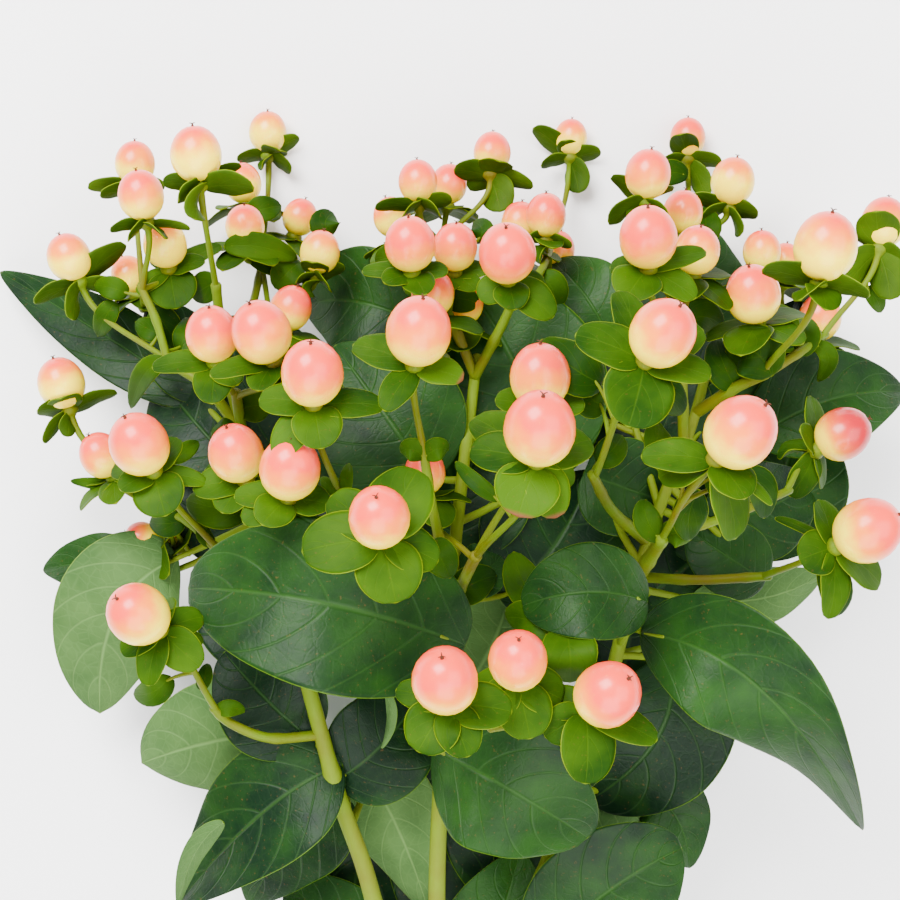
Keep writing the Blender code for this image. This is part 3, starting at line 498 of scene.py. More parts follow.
# The sepals that have dried back to a brown tip, by berry.
DRY_SEPALS = {43: (1, 2), 28: (2,)}

# Small leaves on the twigs, as the solids' own bracts are.
BRACTS = {
    "spray_left_rim": (
        Leaf("rim_a", (128, 294, 36), (112, 286, 40), (95, 285, 34), 5),
        Leaf("rim_b", (116, 302, 34), (104, 315, 36), (98, 336, 28), 5),
        Leaf("rim_c", (150, 310, 34), (168, 322, 36), (176, 347, 28), 7, tone=0.2),
        Leaf("rim_d", (160, 335, 38), (150, 330, 40), (136, 322, 34), 5, tone=0.2),
        Leaf("rim_e", (178, 350, 38), (188, 335, 40), (186, 318, 34), 5, tone=0.3),
    ),
    "spray_top_left": (
        Leaf("top_a", (224, 247, 36), (260, 240, 40), (297, 259, 32), 6, tone=0.8),
        Leaf("top_b", (246, 252, 28), (275, 258, 32), (300, 274, 24), 7, tone=0.2),
        Leaf("top_c", (300, 262, 30), (285, 272, 36), (275, 288, 30), 7),
        Leaf("top_d", (218, 282, 40), (205, 285, 40), (193, 298, 32), 7, tone=0.2),
        Leaf("top_e", (248, 214, 24), (262, 208, 28), (281, 206, 22), 6, tone=0.3),
        Leaf("top_f", (222, 336, 44), (238, 330, 44), (246, 316, 38), 6, tone=0.2),
        Leaf("top_g", (332, 236, 30), (318, 222, 34), (333, 213, 28), 7, tone=0.2),
    ),
    "spray_left_pair": (
        Leaf("pair_a", (216, 372, 58), (196, 352, 62), (184, 345, 54), 6),
        Leaf("pair_b", (238, 410, 56), (258, 402, 60), (272, 408, 54), 7, tone=0.4),
        Leaf("pair_c", (238, 428, 54), (222, 436, 58), (214, 428, 52), 6, tone=0.3),
    ),
    "spray_left_middle": (
        Leaf("middle_a", (250, 506, 62), (215, 512, 66), (187, 500, 58), 9, tone=0.6),
        Leaf("middle_b", (266, 528, 58), (290, 512, 66), (300, 520, 60), 8),
        Leaf("middle_c", (346, 494, 72), (345, 478, 78), (349, 464, 72), 2.4, tone=0.8),
        Leaf("middle_d", (340, 496, 72), (330, 486, 76), (321, 478, 72), 2.4, tone=0.8),
    ),
    "spray_far_left": (
        Leaf("far_a", (184, 520, 48), (168, 526, 50), (150, 522, 42), 6, tone=0.2),
        Leaf("far_b", (120, 486, 44), (100, 484, 46), (71, 481, 42), 2.4, tone=0.3),
        Leaf("far_c", (172, 462, 60), (186, 450, 62), (198, 442, 56), 3.5),
        Leaf("far_d", (214, 546, 54), (200, 536, 58), (202, 520, 54), 3),
    ),
    "spray_low_left": (
        Leaf("low_a", (170, 676, 64), (156, 698, 68), (134, 694, 58), 6),
        Leaf("low_b", (200, 690, 58), (206, 676, 60), (207, 664, 56), 3, tone=0.2),
        Leaf("low_c", (176, 650, 68), (190, 640, 70), (198, 646, 62), 6),
    ),
    "spray_centre": (
        Leaf("centre_a", (430, 546, 84), (440, 552, 90), (450, 578, 80), 7, tone=0.3),
        Leaf("centre_b", (500, 500, 92), (474, 484, 96), (456, 462, 88), 3, tone=0.3),
        Leaf("centre_c", (548, 470, 84), (566, 466, 90), (570, 486, 82), 4),
        Leaf("centre_d", (452, 600, 58), (470, 580, 66), (496, 576, 56), 8, tone=0.1),
    ),
    "spray_low_centre": (
        Leaf("front_a", (552, 640, 84), (530, 612, 84), (506, 618, 72), 8, tone=0.4),
        Leaf("front_b", (545, 610, 66), (518, 586, 70), (514, 552, 62), 8, tone=0.6),
        Leaf("front_c", (566, 628, 84), (572, 655, 100), (570, 682, 86), 11, tone=0.6),
        Leaf("front_d", (572, 716, 70), (590, 740, 78), (582, 790, 62), 12, tone=0.1),
        Leaf("front_e", (500, 716, 84), (520, 708, 90), (546, 716, 80), 8),
    ),
    "spray_top_centre": (
        Leaf("crown_a", (448, 288, 50), (425, 282, 54), (404, 290, 46), 6),
        Leaf("crown_b", (404, 264, 50), (388, 254, 52), (376, 262, 44), 6, tone=0.2),
        Leaf("crown_c", (444, 300, 46), (462, 296, 50), (478, 304, 42), 6, tone=0.3),
        Leaf("crown_d", (478, 240, 44), (488, 228, 48), (474, 222, 40), 5, tone=0.2),
        Leaf("crown_e", (540, 276, 44), (556, 284, 48), (556, 310, 38), 7, tone=0.4),
        Leaf("crown_f", (458, 336, 46), (442, 338, 50), (430, 352, 42), 5, tone=0.3),
    ),
    "spray_right_top": (
        Leaf("peak_a", (682, 330, 52), (700, 305, 56), (722, 326, 46), 8, tone=0.3),
        Leaf("peak_b", (686, 290, 44), (708, 280, 46), (712, 300, 40), 6),
        Leaf("peak_c", (700, 240, 28), (712, 226, 32), (700, 208, 24), 7, tone=0.3),
        Leaf("peak_d", (680, 372, 54), (664, 362, 58), (660, 384, 50), 6, tone=0.3),
        Leaf("peak_e", (690, 270, 34), (672, 258, 38), (660, 268, 30), 6, tone=0.3),
        Leaf("peak_f", (688, 176, 8), (664, 166, 12), (656, 184, 8), 6, tone=0.2),
    ),
    "spray_right_rim": (
        Leaf("east_a", (772, 376, 58), (757, 338, 66), (726, 352, 54), 12, tone=0.2),
        Leaf("east_b", (812, 344, 48), (842, 352, 50), (818, 381, 42), 4),
        Leaf("east_c", (866, 288, 42), (878, 296, 44), (881, 312, 38), 4),
        Leaf("east_d", (792, 338, 50), (784, 318, 54), (768, 306, 46), 6),
        Leaf("east_e", (735, 388, 52), (722, 366, 58), (716, 340, 48), 8, tone=0.3),
        Leaf("east_f", (800, 356, 50), (812, 330, 52), (800, 318, 44), 6, tone=0.3),
    ),
    "spray_right_high": (
        Leaf("high_a", (602, 384, 86), (572, 372, 94), (541, 340, 80), 10, tone=0.15),
        Leaf("high_b", (604, 404, 80), (584, 404, 84), (590, 376, 76), 8, tone=0.3),
        Leaf("high_c", (640, 376, 88), (670, 390, 90), (682, 414, 80), 7, tone=0.2),
        Leaf("high_d", (596, 462, 72), (614, 452, 76), (622, 436, 68), 6, tone=0.2),
    ),
    "spray_right_middle": (
        Leaf("mid_a", (690, 478, 88), (650, 452, 96), (656, 420, 86), 6, tone=0.6),
        Leaf("mid_b", (704, 478, 96), (730, 480, 96), (752, 500, 86), 8, tone=0.2),
        Leaf("mid_c", (748, 470, 92), (768, 484, 92), (764, 518, 80), 6, tone=0.1),
        Leaf("mid_d", (700, 490, 90), (684, 512, 88), (690, 540, 78), 7, tone=0.2),
        Leaf("mid_e", (822, 556, 72), (842, 590, 74), (836, 616, 62), 7, tone=0.2),
    ),
}


def settle(points: np.ndarray, height: float = 1.5) -> np.ndarray:
    """Presses what comes near the surface gently flat on it.

    Args:
        points: The points in millimetres.
        height: How high over the surface the pressing starts.

    Returns:
        The points, none of them below the surface.
    """
    level = points[..., 2]
    pressed = height * np.exp((np.minimum(level, height) - height) / height)
    lifted = np.where(level < height, pressed, level)
    return np.concatenate([points[..., :2], lifted[..., None]], axis=-1)


def unit(vectors: np.ndarray) -> np.ndarray:
    """Scales each vector along the last axis to a length of one."""
    return vectors / np.maximum(np.linalg.norm(vectors, axis=-1, keepdims=True), TINY)


def square_to(direction: np.ndarray, guide: np.ndarray) -> np.ndarray:
    """Finds the unit vectors nearest to guide that are square to direction."""
    return unit(guide - direction * np.sum(direction * guide, axis=-1, keepdims=True))


def bezier(control: list[np.ndarray], shares: np.ndarray) -> np.ndarray:
    """Samples a Bezier curve.

    Args:
        control: The control points.
        shares: Where to sample it, from 0 to 1.

    Returns:
        One point for each share.
    """
    degree = len(control) - 1
    weights = [math.comb(degree, i) * shares ** i * (1 - shares) ** (degree - i)
               for i in range(degree + 1)]
    return sum(weight[:, None] * point for weight, point in zip(weights, control))


def smooth_path(points: list[np.ndarray], steps: int) -> np.ndarray:
    """Runs a smooth curve through points.

    Args:
        points: The points it passes.
        steps: How many spans it has between each two of them.

    Returns:
        The points along the curve.
    """
    ends = [2 * points[0] - points[1], *points, 2 * points[-1] - points[-2]]
    path = []
    for before, start, end, after in zip(ends, ends[1:], ends[2:], ends[3:]):
        for step in range(steps):
            t = step / steps
            path.append(0.5 * (2 * start + (end - before) * t
                               + (2 * before - 5 * start + 4 * end - after) * t ** 2
                               + (3 * start - before - 3 * end + after) * t ** 3))
    path.append(points[-1])
    return np.array(path)


def carry(name: str, mesh: bpy.types.Mesh) -> bpy.types.Object:
    """Puts a finished mesh on the branch.

    Args:
        name: The piece's name.
        mesh: Its mesh, with its place in it.

    Returns:
        The new object, riding on the branch.
    """
    mesh.name = name
    mesh.shade_smooth()
    piece = put(name, mesh)
    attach(piece, BODY)
    LOG.info("%s: %d faces", name, len(mesh.polygons))
    return piece


@dataclass
class MeshMaker:
    """Gathers the blades of a piece into one mesh, each with a map and a tone."""

    points: list = field(default_factory=list)
    faces: list = field(default_factory=list)
    slots: list = field(default_factory=list)
    maps: list = field(default_factory=list)
    tones: list = field(default_factory=list)
    count: int = 0

    def grid(self, points: np.ndarray, side: Side, tone: float, shares: np.ndarray,
             sides: np.ndarray) -> np.ndarray:
        """Adds a grid of points with its faces.

        Args:
            points: Rows of columns of points, in millimetres.
            side: The side of the blade that it makes.
            tone: How light the part is, kept as an attribute.
            shares: Where each row lies along the part, from 0 to 1.
            sides: Where each column lies across the part, from 0 to 1.

        Returns:
            The index of each point of the grid in the mesh.
        """
        rows, columns = points.shape[:2]
        index = self.count + np.arange(rows * columns).reshape(rows, columns)
        self.points.append(settle(points.reshape(-1, 3)))
        across, along = np.meshgrid(sides, shares)
        self.maps.append(np.stack([across.ravel(), along.ravel()], axis=1))
        self.tones.append(np.full(rows * columns, tone))
        self.count += rows * columns
        right, left = index[:, 1:], index[:, :-1]
        quads = np.stack([left[:-1], right[:-1], right[1:], left[1:]], axis=-1).reshape(-1, 4)
        self.add_faces((quads[:, ::-1] if side is Side.UPPER else quads).tolist(), side)
        return index

    def add_faces(self, faces: list, side: Side) -> None:
        """Adds faces of one side between points that are already there."""
        self.faces.extend(faces)
        self.slots.extend([side.value] * len(faces))

    def blade(self, upper: np.ndarray, under: np.ndarray, tone: float, shares: np.ndarray,
              sides: np.ndarray) -> None:
        """Adds a closed blade from its two faces, joined all round by a narrow rim.

        Args:
            upper: Rows of columns of points of the upper face, in millimetres.
            under: The same for the lower face.
            tone: Its tone.
            shares: Where each row lies along it.
            sides: Where each column lies across it.
        """
        top = self.grid(upper, Side.UPPER, tone, shares, sides)
        low = self.grid(under, Side.UNDER, tone, shares, sides)
        rim_top = np.concatenate([top[0], top[1:, -1], top[-1, -2::-1], top[-2:0:-1, 0]])
        rim_low = np.concatenate([low[0], low[1:, -1], low[-1, -2::-1], low[-2:0:-1, 0]])
        rim = zip(rim_top, np.roll(rim_top, -1), np.roll(rim_low, -1), rim_low)
        self.add_faces(list(rim), Side.UPPER)

    def build(self, name: str, materials: list[bpy.types.Material]) -> bpy.types.Object:
        """Makes the object, with its place in its mesh.

        Args:
            name: The piece's name.
            materials: Its material slots in order.

        Returns:
            The new object, riding on the branch.
        """
        mesh = bpy.data.meshes.new(name)
        mesh.from_pydata((np.concatenate(self.points) * MM).tolist(), [], self.faces)
        maps = np.concatenate(self.maps).astype(np.float32)
        corners = np.empty(len(mesh.loops), dtype=np.int32)
        mesh.loops.foreach_get("vertex_index", corners)
        mesh.uv_layers.new(name=BLADE_UV).data.foreach_set("uv", maps[corners].ravel())
        note(mesh, "tone", np.concatenate(self.tones))
        mesh.polygons.foreach_set("material_index", np.array(self.slots, dtype=np.int32))
        for material in materials:
            mesh.materials.append(material)
        mesh.validate()
        return carry(name, mesh)


@dataclass(frozen=True)
class BladeForm:
    """How a kind of blade is shaped: outline, fold, waves and the relief of its veins."""

    rows: int = 34
    columns: int = 21
    thickness: float = 0.55
    outline_skew: float = 0.8
    outline_power: float = 0.75
    fold: float = 0.16
    fold_power: float = 1.5
    wave: float = 0.03
    waves: float = 3.0
    vein_pairs: float = 7.0
    vein_sweep: float = 0.34
    relief: float = 0.3
    quilt_power: float = 0.8
    groove_depth: float = 0.9
    groove_width: float = 0.7
    least_half_width: float = 0.25
    end_crowding: float = 0.6
    edge_crowding: float = 0.5
    edge_thinning: float = 0.7
    tangent_step: float = 0.01

    def half_widths(self, shares: np.ndarray) -> np.ndarray:
        """Gives the outline: the width at each share of the length, as a share of the largest."""
        arch = np.sin(math.pi * np.clip(shares, 0, 1) ** self.outline_skew)
        return np.maximum(arch, 0.0) ** self.outline_power

    def rise(self, shares: np.ndarray, sides: np.ndarray, half: np.ndarray,
             draw: random.Random) -> np.ndarray:
        """Works out how far each point stands out of the blade's flat face.

        Args:
            shares: Where each row lies along the blade.
            sides: Where each column lies across it, from -1 to 1.
            half: Half the width of each row, in millimetres.
            draw: The source of this blade's own waves.

        Returns:
            Rows of columns of heights, in millimetres.
        """
        along, across = shares[:, None], sides[None, :]
        fold = half[:, None] * self.fold * np.abs(across) ** self.fold_power
        left, right = draw.uniform(0, PHASE_SPAN), draw.uniform(0, PHASE_SPAN)
        phase = np.where(across < 0, left, right)
        wave = half.max() * self.wave * np.sin(2 * math.pi * self.waves * along + phase)
        wave = wave * across ** 2 * np.sin(math.pi * along)
        ribs = self.vein_pairs * (along - self.vein_sweep * np.abs(across))
        near = np.abs(ribs - np.round(ribs))
        quilt = self.relief * (near * 2) ** self.quilt_power
        quilt = quilt * (1 - across ** 4) * np.sin(math.pi * along) ** 0.5
        groove = np.exp(-(across * half[:, None] / self.groove_width) ** 2)
        midrib = -self.relief * self.groove_depth * groove
        return fold + wave + quilt + midrib

    def add(self, maker: MeshMaker, spine: list[np.ndarray], face: np.ndarray, tip_face: np.ndarray,
            width: float, tone: float, draw: random.Random) -> None:
        """Adds one blade to a mesh.

        Args:
            maker: The mesh it is added to.
            spine: The control points of its midrib.
            face: The way its upper side faces at its base.
            tip_face: The same at its tip.
            width: Its full width.
            tone: Its tone.
            draw: The source of its own waves.
        """
        crowded = (1 - np.cos(np.linspace(0.0, math.pi, self.rows))) / 2
        even = np.linspace(0, 1, self.rows)
        shares = crowded * self.end_crowding + even * (1 - self.end_crowding)
        middle = bezier(spine, shares)
        after = np.minimum(shares + self.tangent_step, 1)
        before = np.maximum(shares - self.tangent_step, 0)
        tangent = unit(bezier(spine, after) - bezier(spine, before))
        guide = face * (1 - shares[:, None]) + tip_face * shares[:, None]
        normal = square_to(tangent, guide)
        side = np.cross(tangent, normal)
        half = width / 2 * self.half_widths(shares) + self.least_half_width
        crowded = np.sin(np.linspace(-math.pi / 2, math.pi / 2, self.columns))
        even = np.linspace(self.edge_crowding - 1, 1 - self.edge_crowding, self.columns)
        sides = crowded * self.edge_crowding + even
        rise = self.rise(shares, sides, half, draw)
        flat = middle[:, None] + side[:, None] * (half[:, None] * sides[None, :])[..., None]
        body = self.thickness / 2 * (1 - self.edge_thinning * sides[None, :] ** 4)
        body = body * np.ones((self.rows, 1))
        upper = flat + normal[:, None] * (rise + body)[..., None]
        under = flat + normal[:, None] * (rise - body)[..., None]
        maker.blade(upper[:, ::-1], under[:, ::-1], tone, shares, (sides[::-1] + 1) / 2)


LEAF_FORM = BladeForm()
BLUNT_LEAF_FORM = BladeForm(outline_skew=0.88, outline_power=0.55)
BLUNT_LEAVES = {
    "left_low_pale", "front_left", "bottom_centre", "right_oval", "centre_right", "front_small",
    "bottom_right", "left_pale", "stem_left", "stem_right", "right_dark",
}
SMALL_LEAF_FORM = BladeForm(rows=13, columns=9, thickness=0.5, outline_skew=0.85,
                            outline_power=0.6, relief=0.1, wave=0.02)
SEPAL_FORM = BladeForm(rows=14, columns=9, thickness=0.45, outline_skew=0.9, outline_power=0.45,
                       fold=0.12, fold_power=2.0, wave=0.06, waves=1.3, vein_pairs=2.0,
                       vein_sweep=0.5, relief=0.08)


def paint(red: float, green: float, blue: float) -> tuple:
    """Gives a colour from the shares of red, green and blue light that the surface sends back."""
    return red, green, blue, 1.0


class Shader:
    """A short way to put nodes in a tree and to link them."""

    def __init__(self, tree: bpy.types.NodeTree) -> None:
        """Keeps the tree that the nodes go in."""
        self.tree = tree

    def node(self, kind: str, inputs: dict | None = None, **settings) -> bpy.types.Node:
        """Adds a node.

        Args:
            kind: The node's type.
            inputs: Values or output sockets for its inputs, by name or index.
            settings: Its own properties.

        Returns:
            The new node.
        """
        made = self.tree.nodes.new(kind)
        for name, value in settings.items():
            setattr(made, name, value)
        for key, value in (inputs or {}).items():
            if isinstance(value, bpy.types.NodeSocket):
                self.tree.links.new(value, made.inputs[key])
            else:
                made.inputs[key].default_value = value
        return made

    def calc(self, operation: str, first, second=0.0, third=0.0,
             clamp: bool = False) -> bpy.types.NodeSocket:
        """Adds a Math node and gives its output."""
        return self.node("ShaderNodeMath", {0: first, 1: second, 2: third}, operation=operation,
                         use_clamp=clamp).outputs[0]

    def mix(self, factor, first, second) -> bpy.types.NodeSocket:
        """Adds a colour Mix node and gives its colour."""
        made = self.node("ShaderNodeMix", data_type="RGBA")
        for index, value in ((0, factor), (6, first), (7, second)):
            if isinstance(value, bpy.types.NodeSocket):
                self.tree.links.new(value, made.inputs[index])
            else:
                made.inputs[index].default_value = value
        return made.outputs[2]

    def span(self, value, low, high, soft: bool = False) -> bpy.types.NodeSocket:
        """Adds a Map Range node that runs from 0 at low to 1 at high, and gives its result."""
        return self.node("ShaderNodeMapRange", {"Value": value, 1: low, 2: high},
                         interpolation_type="SMOOTHSTEP" if soft else "LINEAR").outputs[0]

    def spots(self, mottle: bpy.types.NodeTree, patch_scale: float,
              speck_scale: float) -> bpy.types.Node:
        """Adds the mottle group with its two scales and gives its node."""
        made = self.node("ShaderNodeGroup", node_tree=mottle)
        made.inputs["Patch Scale"].default_value = patch_scale
        made.inputs["Speck Scale"].default_value = speck_scale
        return made

    def attribute(self, name: str) -> bpy.types.NodeSocket:
        """Reads a number that the mesh carries."""
        return self.node("ShaderNodeAttribute", attribute_name=name).outputs["Fac"]

    def ramp(self, factor: bpy.types.NodeSocket, stops: list[tuple]) -> bpy.types.NodeSocket:
        """Adds a colour ramp through (share, colour) stops and gives its colour."""
        made = self.node("ShaderNodeValToRGB", {0: factor})
        while len(made.color_ramp.elements) < len(stops):
            made.color_ramp.elements.new(0.5)
        for element, (share, colour) in zip(made.color_ramp.elements, stops):
            element.position = share
            element.color = colour
        return made.outputs[0]


def group_tree(name: str, inputs: dict[str, float],
               outputs: list[str]) -> tuple[bpy.types.NodeTree, Shader]:
    """Makes an empty shader group.

    Args:
        name: The group's name.
        inputs: The name and default of each number that it takes.
        outputs: The name of each number that it puts out.

    Returns:
        The group and a Shader for it.
    """
    tree = bpy.data.node_groups.new(name, "ShaderNodeTree")
    for title, value in inputs.items():
        made = tree.interface.new_socket(name=title, in_out="INPUT", socket_type="NodeSocketFloat")
        made.default_value = value
    for title in outputs:
        tree.interface.new_socket(name=title, in_out="OUTPUT", socket_type="NodeSocketFloat")
    return tree, Shader(tree)


def mottle_group() -> bpy.types.NodeTree:
    """Builds the soft patches and fine specks that every living surface here carries."""
    speck_from, speck_full = 0.66, 0.74
    tree, shader = group_tree("living_mottle", {"Patch Scale": 300.0, "Speck Scale": 2500.0},
                              ["Patches", "Specks", "Grain"])
    given = shader.node("NodeGroupInput")
    place = shader.node("ShaderNodeTexCoord").outputs["Object"]
    patches = shader.node("ShaderNodeTexNoise",
                          {"Vector": place, "Scale": given.outputs[0], "Detail": 3.0})
    grain = shader.node("ShaderNodeTexNoise",
                        {"Vector": place, "Scale": given.outputs[1], "Detail": 2.0})
    specks = shader.span(grain.outputs[0], speck_from, speck_full)
    shader.node("NodeGroupOutput", {0: patches.outputs[0], 1: specks, 2: grain.outputs[0]})
    return tree


def vein_group() -> bpy.types.NodeTree:
    """Builds the veins of a blade from its map: midrib, swept side veins, net and rim."""
    vein_curve, vein_width = 1.35, 0.07
    midrib_width, midrib_core = 0.05, 0.005
    net_cells, net_width = (9.0, 24.0, 1.0), 0.1
    tree, shader = group_tree("blade_veins", {"Pairs": 7.0, "Sweep": 0.34, "Rim Width": 0.05},
                              ["Midrib", "Veins", "Rim", "Along", "Net", "Half"])
    given = shader.node("NodeGroupInput")
    chart = shader.node("ShaderNodeUVMap", uv_map=BLADE_UV)
    parts = shader.node("ShaderNodeSeparateXYZ", {0: chart.outputs[0]})
    across = shader.calc("ABSOLUTE", shader.calc("MULTIPLY_ADD", parts.outputs[0], 2.0, -1.0))
    curved = shader.calc("POWER", across, vein_curve)
    swept = shader.calc("SUBTRACT", parts.outputs[1],
                        shader.calc("MULTIPLY", curved, given.outputs[1]))
    ribs = shader.calc("MULTIPLY", swept, given.outputs[0])
    near = shader.calc("ABSOLUTE", shader.calc("SUBTRACT", ribs, shader.calc("ROUND", ribs)))
    veins = shader.span(near, vein_width, 0.0, soft=True)
    midrib = shader.span(across, midrib_width, midrib_core, soft=True)
    ends = shader.calc("MINIMUM", parts.outputs[1], shader.calc("SUBTRACT", 1.0, parts.outputs[1]))
    edge = shader.calc("MINIMUM", shader.calc("SUBTRACT", 1.0, across),
                       shader.calc("MULTIPLY", ends, 2.0))
    rim = shader.span(edge, given.outputs[2], 0.0, soft=True)
    meshes = shader.node("ShaderNodeMapping", {"Vector": chart.outputs[0], "Scale": net_cells})
    cells = shader.node("ShaderNodeTexVoronoi", {"Vector": meshes.outputs[0], "Scale": 1.0},
                        feature="DISTANCE_TO_EDGE")
    net = shader.span(cells.outputs[0], net_width, 0.0)
    # Half runs across the blade from edge to edge; the skins use it for painted shade.
    shader.node("NodeGroupOutput", {0: midrib, 1: veins, 2: rim, 3: parts.outputs[1], 4: net,
                                    5: parts.outputs[0]})
    return tree


@dataclass(frozen=True, kw_only=True)
class Finish:
    """What every finish here shares: a name, a roughness, a gloss and a coat of natural wax."""

    name: str
    roughness: float
    gloss: float
    coat: float = 0.0
    coat_roughness: float = 0.2
    patch_scale: float
    speck_scale: float = 2500.0

    def start(self) -> tuple[bpy.types.Material, Shader, bpy.types.Node]:
        """Makes the material with its shader node.

        Returns:
            The material, a Shader for its tree and its Principled node.
        """
        material = bpy.data.materials.new(self.name)
        material.use_nodes = True
        shader = Shader(material.node_tree)
        skin = material.node_tree.nodes["Principled BSDF"]
        skin.inputs["Roughness"].default_value = self.roughness
        skin.inputs["Coat Weight"].default_value = self.coat
        skin.inputs["Coat Roughness"].default_value = self.coat_roughness
        skin.inputs["Specular IOR Level"].default_value = self.gloss
        return material, shader, skin

    def bump(self, shader: Shader, skin: bpy.types.Node, height: bpy.types.NodeSocket,
             strength: float, distance: float) -> None:
        """Feeds a height into the normal, with its strength and its depth in metres."""
        made = shader.node("ShaderNodeBump",
                           {"Height": height, "Strength": strength, "Distance": distance})
        shader.tree.links.new(made.outputs[0], skin.inputs["Normal"])


@dataclass(frozen=True, kw_only=True)
class BladeSkin(Finish):
    """A leaf or sepal surface: a ground between two colours, paler veins and a pale rim."""

    dark: tuple
    light: tuple
    vein: tuple
    rim: tuple
    blemish: tuple
    pairs: float
    sweep: float
    rim_width: float
    vein_share: float
    side_vein_share: float = 0.6
    net_share: float
    blemish_share: float
    patch_scale: float = 120.0
    speck_scale: float = 1400.0
    patch_contrast: float = 1.5
    # How much lighter one edge of each blade is painted than the other: painted shade.
    painted_side_shade: float = 0.3
    contrast_middle: float = 0.9
    dry_from: float = 0.9
    dry_full: float = 0.97
    grain: float = 0.3
    bump_strength: float = 0.5
    bump_depth: float

    def material(self, mottle: bpy.types.NodeTree, veins: bpy.types.NodeTree) -> bpy.types.Material:
        """Builds the material from the shared groups."""
        material, shader, skin = self.start()
        pattern = shader.node("ShaderNodeGroup", node_tree=veins)
        pattern.inputs["Pairs"].default_value = self.pairs
        pattern.inputs["Sweep"].default_value = self.sweep
        pattern.inputs["Rim Width"].default_value = self.rim_width
        spots = shader.spots(mottle, self.patch_scale, self.speck_scale)
        tone = shader.attribute("tone")
        # Painted light and shade: the ground grows lighter towards one edge of each blade.
        uneven = shader.calc("MULTIPLY_ADD", spots.outputs["Patches"], self.patch_contrast,
                             shader.calc("MULTIPLY", pattern.outputs["Half"], self.painted_side_shade))
        # Low tones give painted shade: the ground of shaded leaves goes to the dark colour.
        ground = shader.calc("ADD", uneven, shader.calc("SUBTRACT", tone, self.contrast_middle),
                             clamp=True)
        colour = shader.mix(ground, self.dark, self.light)
        lines = shader.calc("MAXIMUM", pattern.outputs["Midrib"],
                            shader.calc("MULTIPLY", pattern.outputs["Veins"], self.side_vein_share))
        net = shader.calc("MULTIPLY", pattern.outputs["Net"], self.net_share)
        lines = shader.calc("MAXIMUM", lines, net)
        colour = shader.mix(shader.calc("MULTIPLY", lines, self.vein_share), colour, self.vein)
        colour = shader.mix(pattern.outputs["Rim"], colour, self.rim)
        fleck = shader.calc("MULTIPLY", spots.outputs["Specks"], self.blemish_share)
        colour = shader.mix(fleck, colour, self.blemish)
        tip = shader.span(pattern.outputs["Along"], self.dry_from, self.dry_full)
        dry = shader.calc("MULTIPLY", tip, shader.calc("SUBTRACT", tone, 1.0, clamp=True))
        colour = shader.mix(dry, colour, self.blemish)
        shader.tree.links.new(colour, skin.inputs["Base Color"])
        height = shader.calc("MULTIPLY_ADD", lines, -1.0,
                             shader.calc("MULTIPLY", spots.outputs["Grain"], self.grain))
        self.bump(shader, skin, height, self.bump_strength, self.bump_depth)
        return material


@dataclass(frozen=True, kw_only=True)
class BerrySkin(Finish):
    """The waxy skin of a berry: cream at its base, blushing to salmon pink at its tip."""

    base: tuple
    middle: tuple
    blush: tuple
    deep: tuple
    patch_scale: float = 160.0
    speck_scale: float = 2200.0
    ripe_gain: float = 0.6
    ripe_offset: float = -0.36
    ripest: float = 2.5
    cloud: float = 0.5
    stops: tuple = (0.0, 0.32, 0.58, 0.86)
    deep_from: float = 1.05
    deep_gain: float = 1.9
    flush_from: float = 0.05
    flush_full: float = 0.75
    fleck_share: float = 0.12
    glow: float = 0.25
    glow_spread: tuple = (1.0, 0.5, 0.3)
    glow_depth: float = 0.002
    bump_strength: float = 0.15
    bump_depth: float = 0.0001

    def material(self, mottle: bpy.types.NodeTree, veins: bpy.types.NodeTree) -> bpy.types.Material:
        """Builds the material from the shared mottle group and the berry's own attributes."""
        material, shader, skin = self.start()
        spots = shader.spots(mottle, self.patch_scale, self.speck_scale)
        along, ripe = shader.attribute("along"), shader.attribute("ripe")
        calm = shader.calc("MINIMUM", ripe, shader.calc("SUBTRACT", self.ripest, ripe))
        shift = shader.calc("MULTIPLY_ADD", calm, self.ripe_gain, self.ripe_offset)
        cloud = shader.calc("MULTIPLY_ADD", spots.outputs["Patches"], self.cloud, -self.cloud / 2)
        level = shader.calc("ADD", shader.calc("ADD", along, shift), cloud, clamp=True)
        colours = (self.base, self.base, self.middle, self.blush)
        colour = shader.ramp(level, list(zip(self.stops, colours)))
        over = shader.calc("SUBTRACT", ripe, self.deep_from, clamp=True)
        deep = shader.calc("MULTIPLY", over, self.deep_gain, clamp=True)
        flushed = shader.span(along, self.flush_from, self.flush_full)
        colour = shader.mix(shader.calc("MULTIPLY", deep, flushed), colour, self.deep)
        fleck = shader.calc("MULTIPLY", spots.outputs["Specks"], self.fleck_share)
        colour = shader.mix(fleck, colour, self.base)
        shader.tree.links.new(colour, skin.inputs["Base Color"])
        skin.inputs["Subsurface Weight"].default_value = self.glow
        skin.inputs["Subsurface Radius"].default_value = self.glow_spread
        skin.inputs["Subsurface Scale"].default_value = self.glow_depth
        self.bump(shader, skin, spots.outputs["Grain"], self.bump_strength, self.bump_depth)
        return material


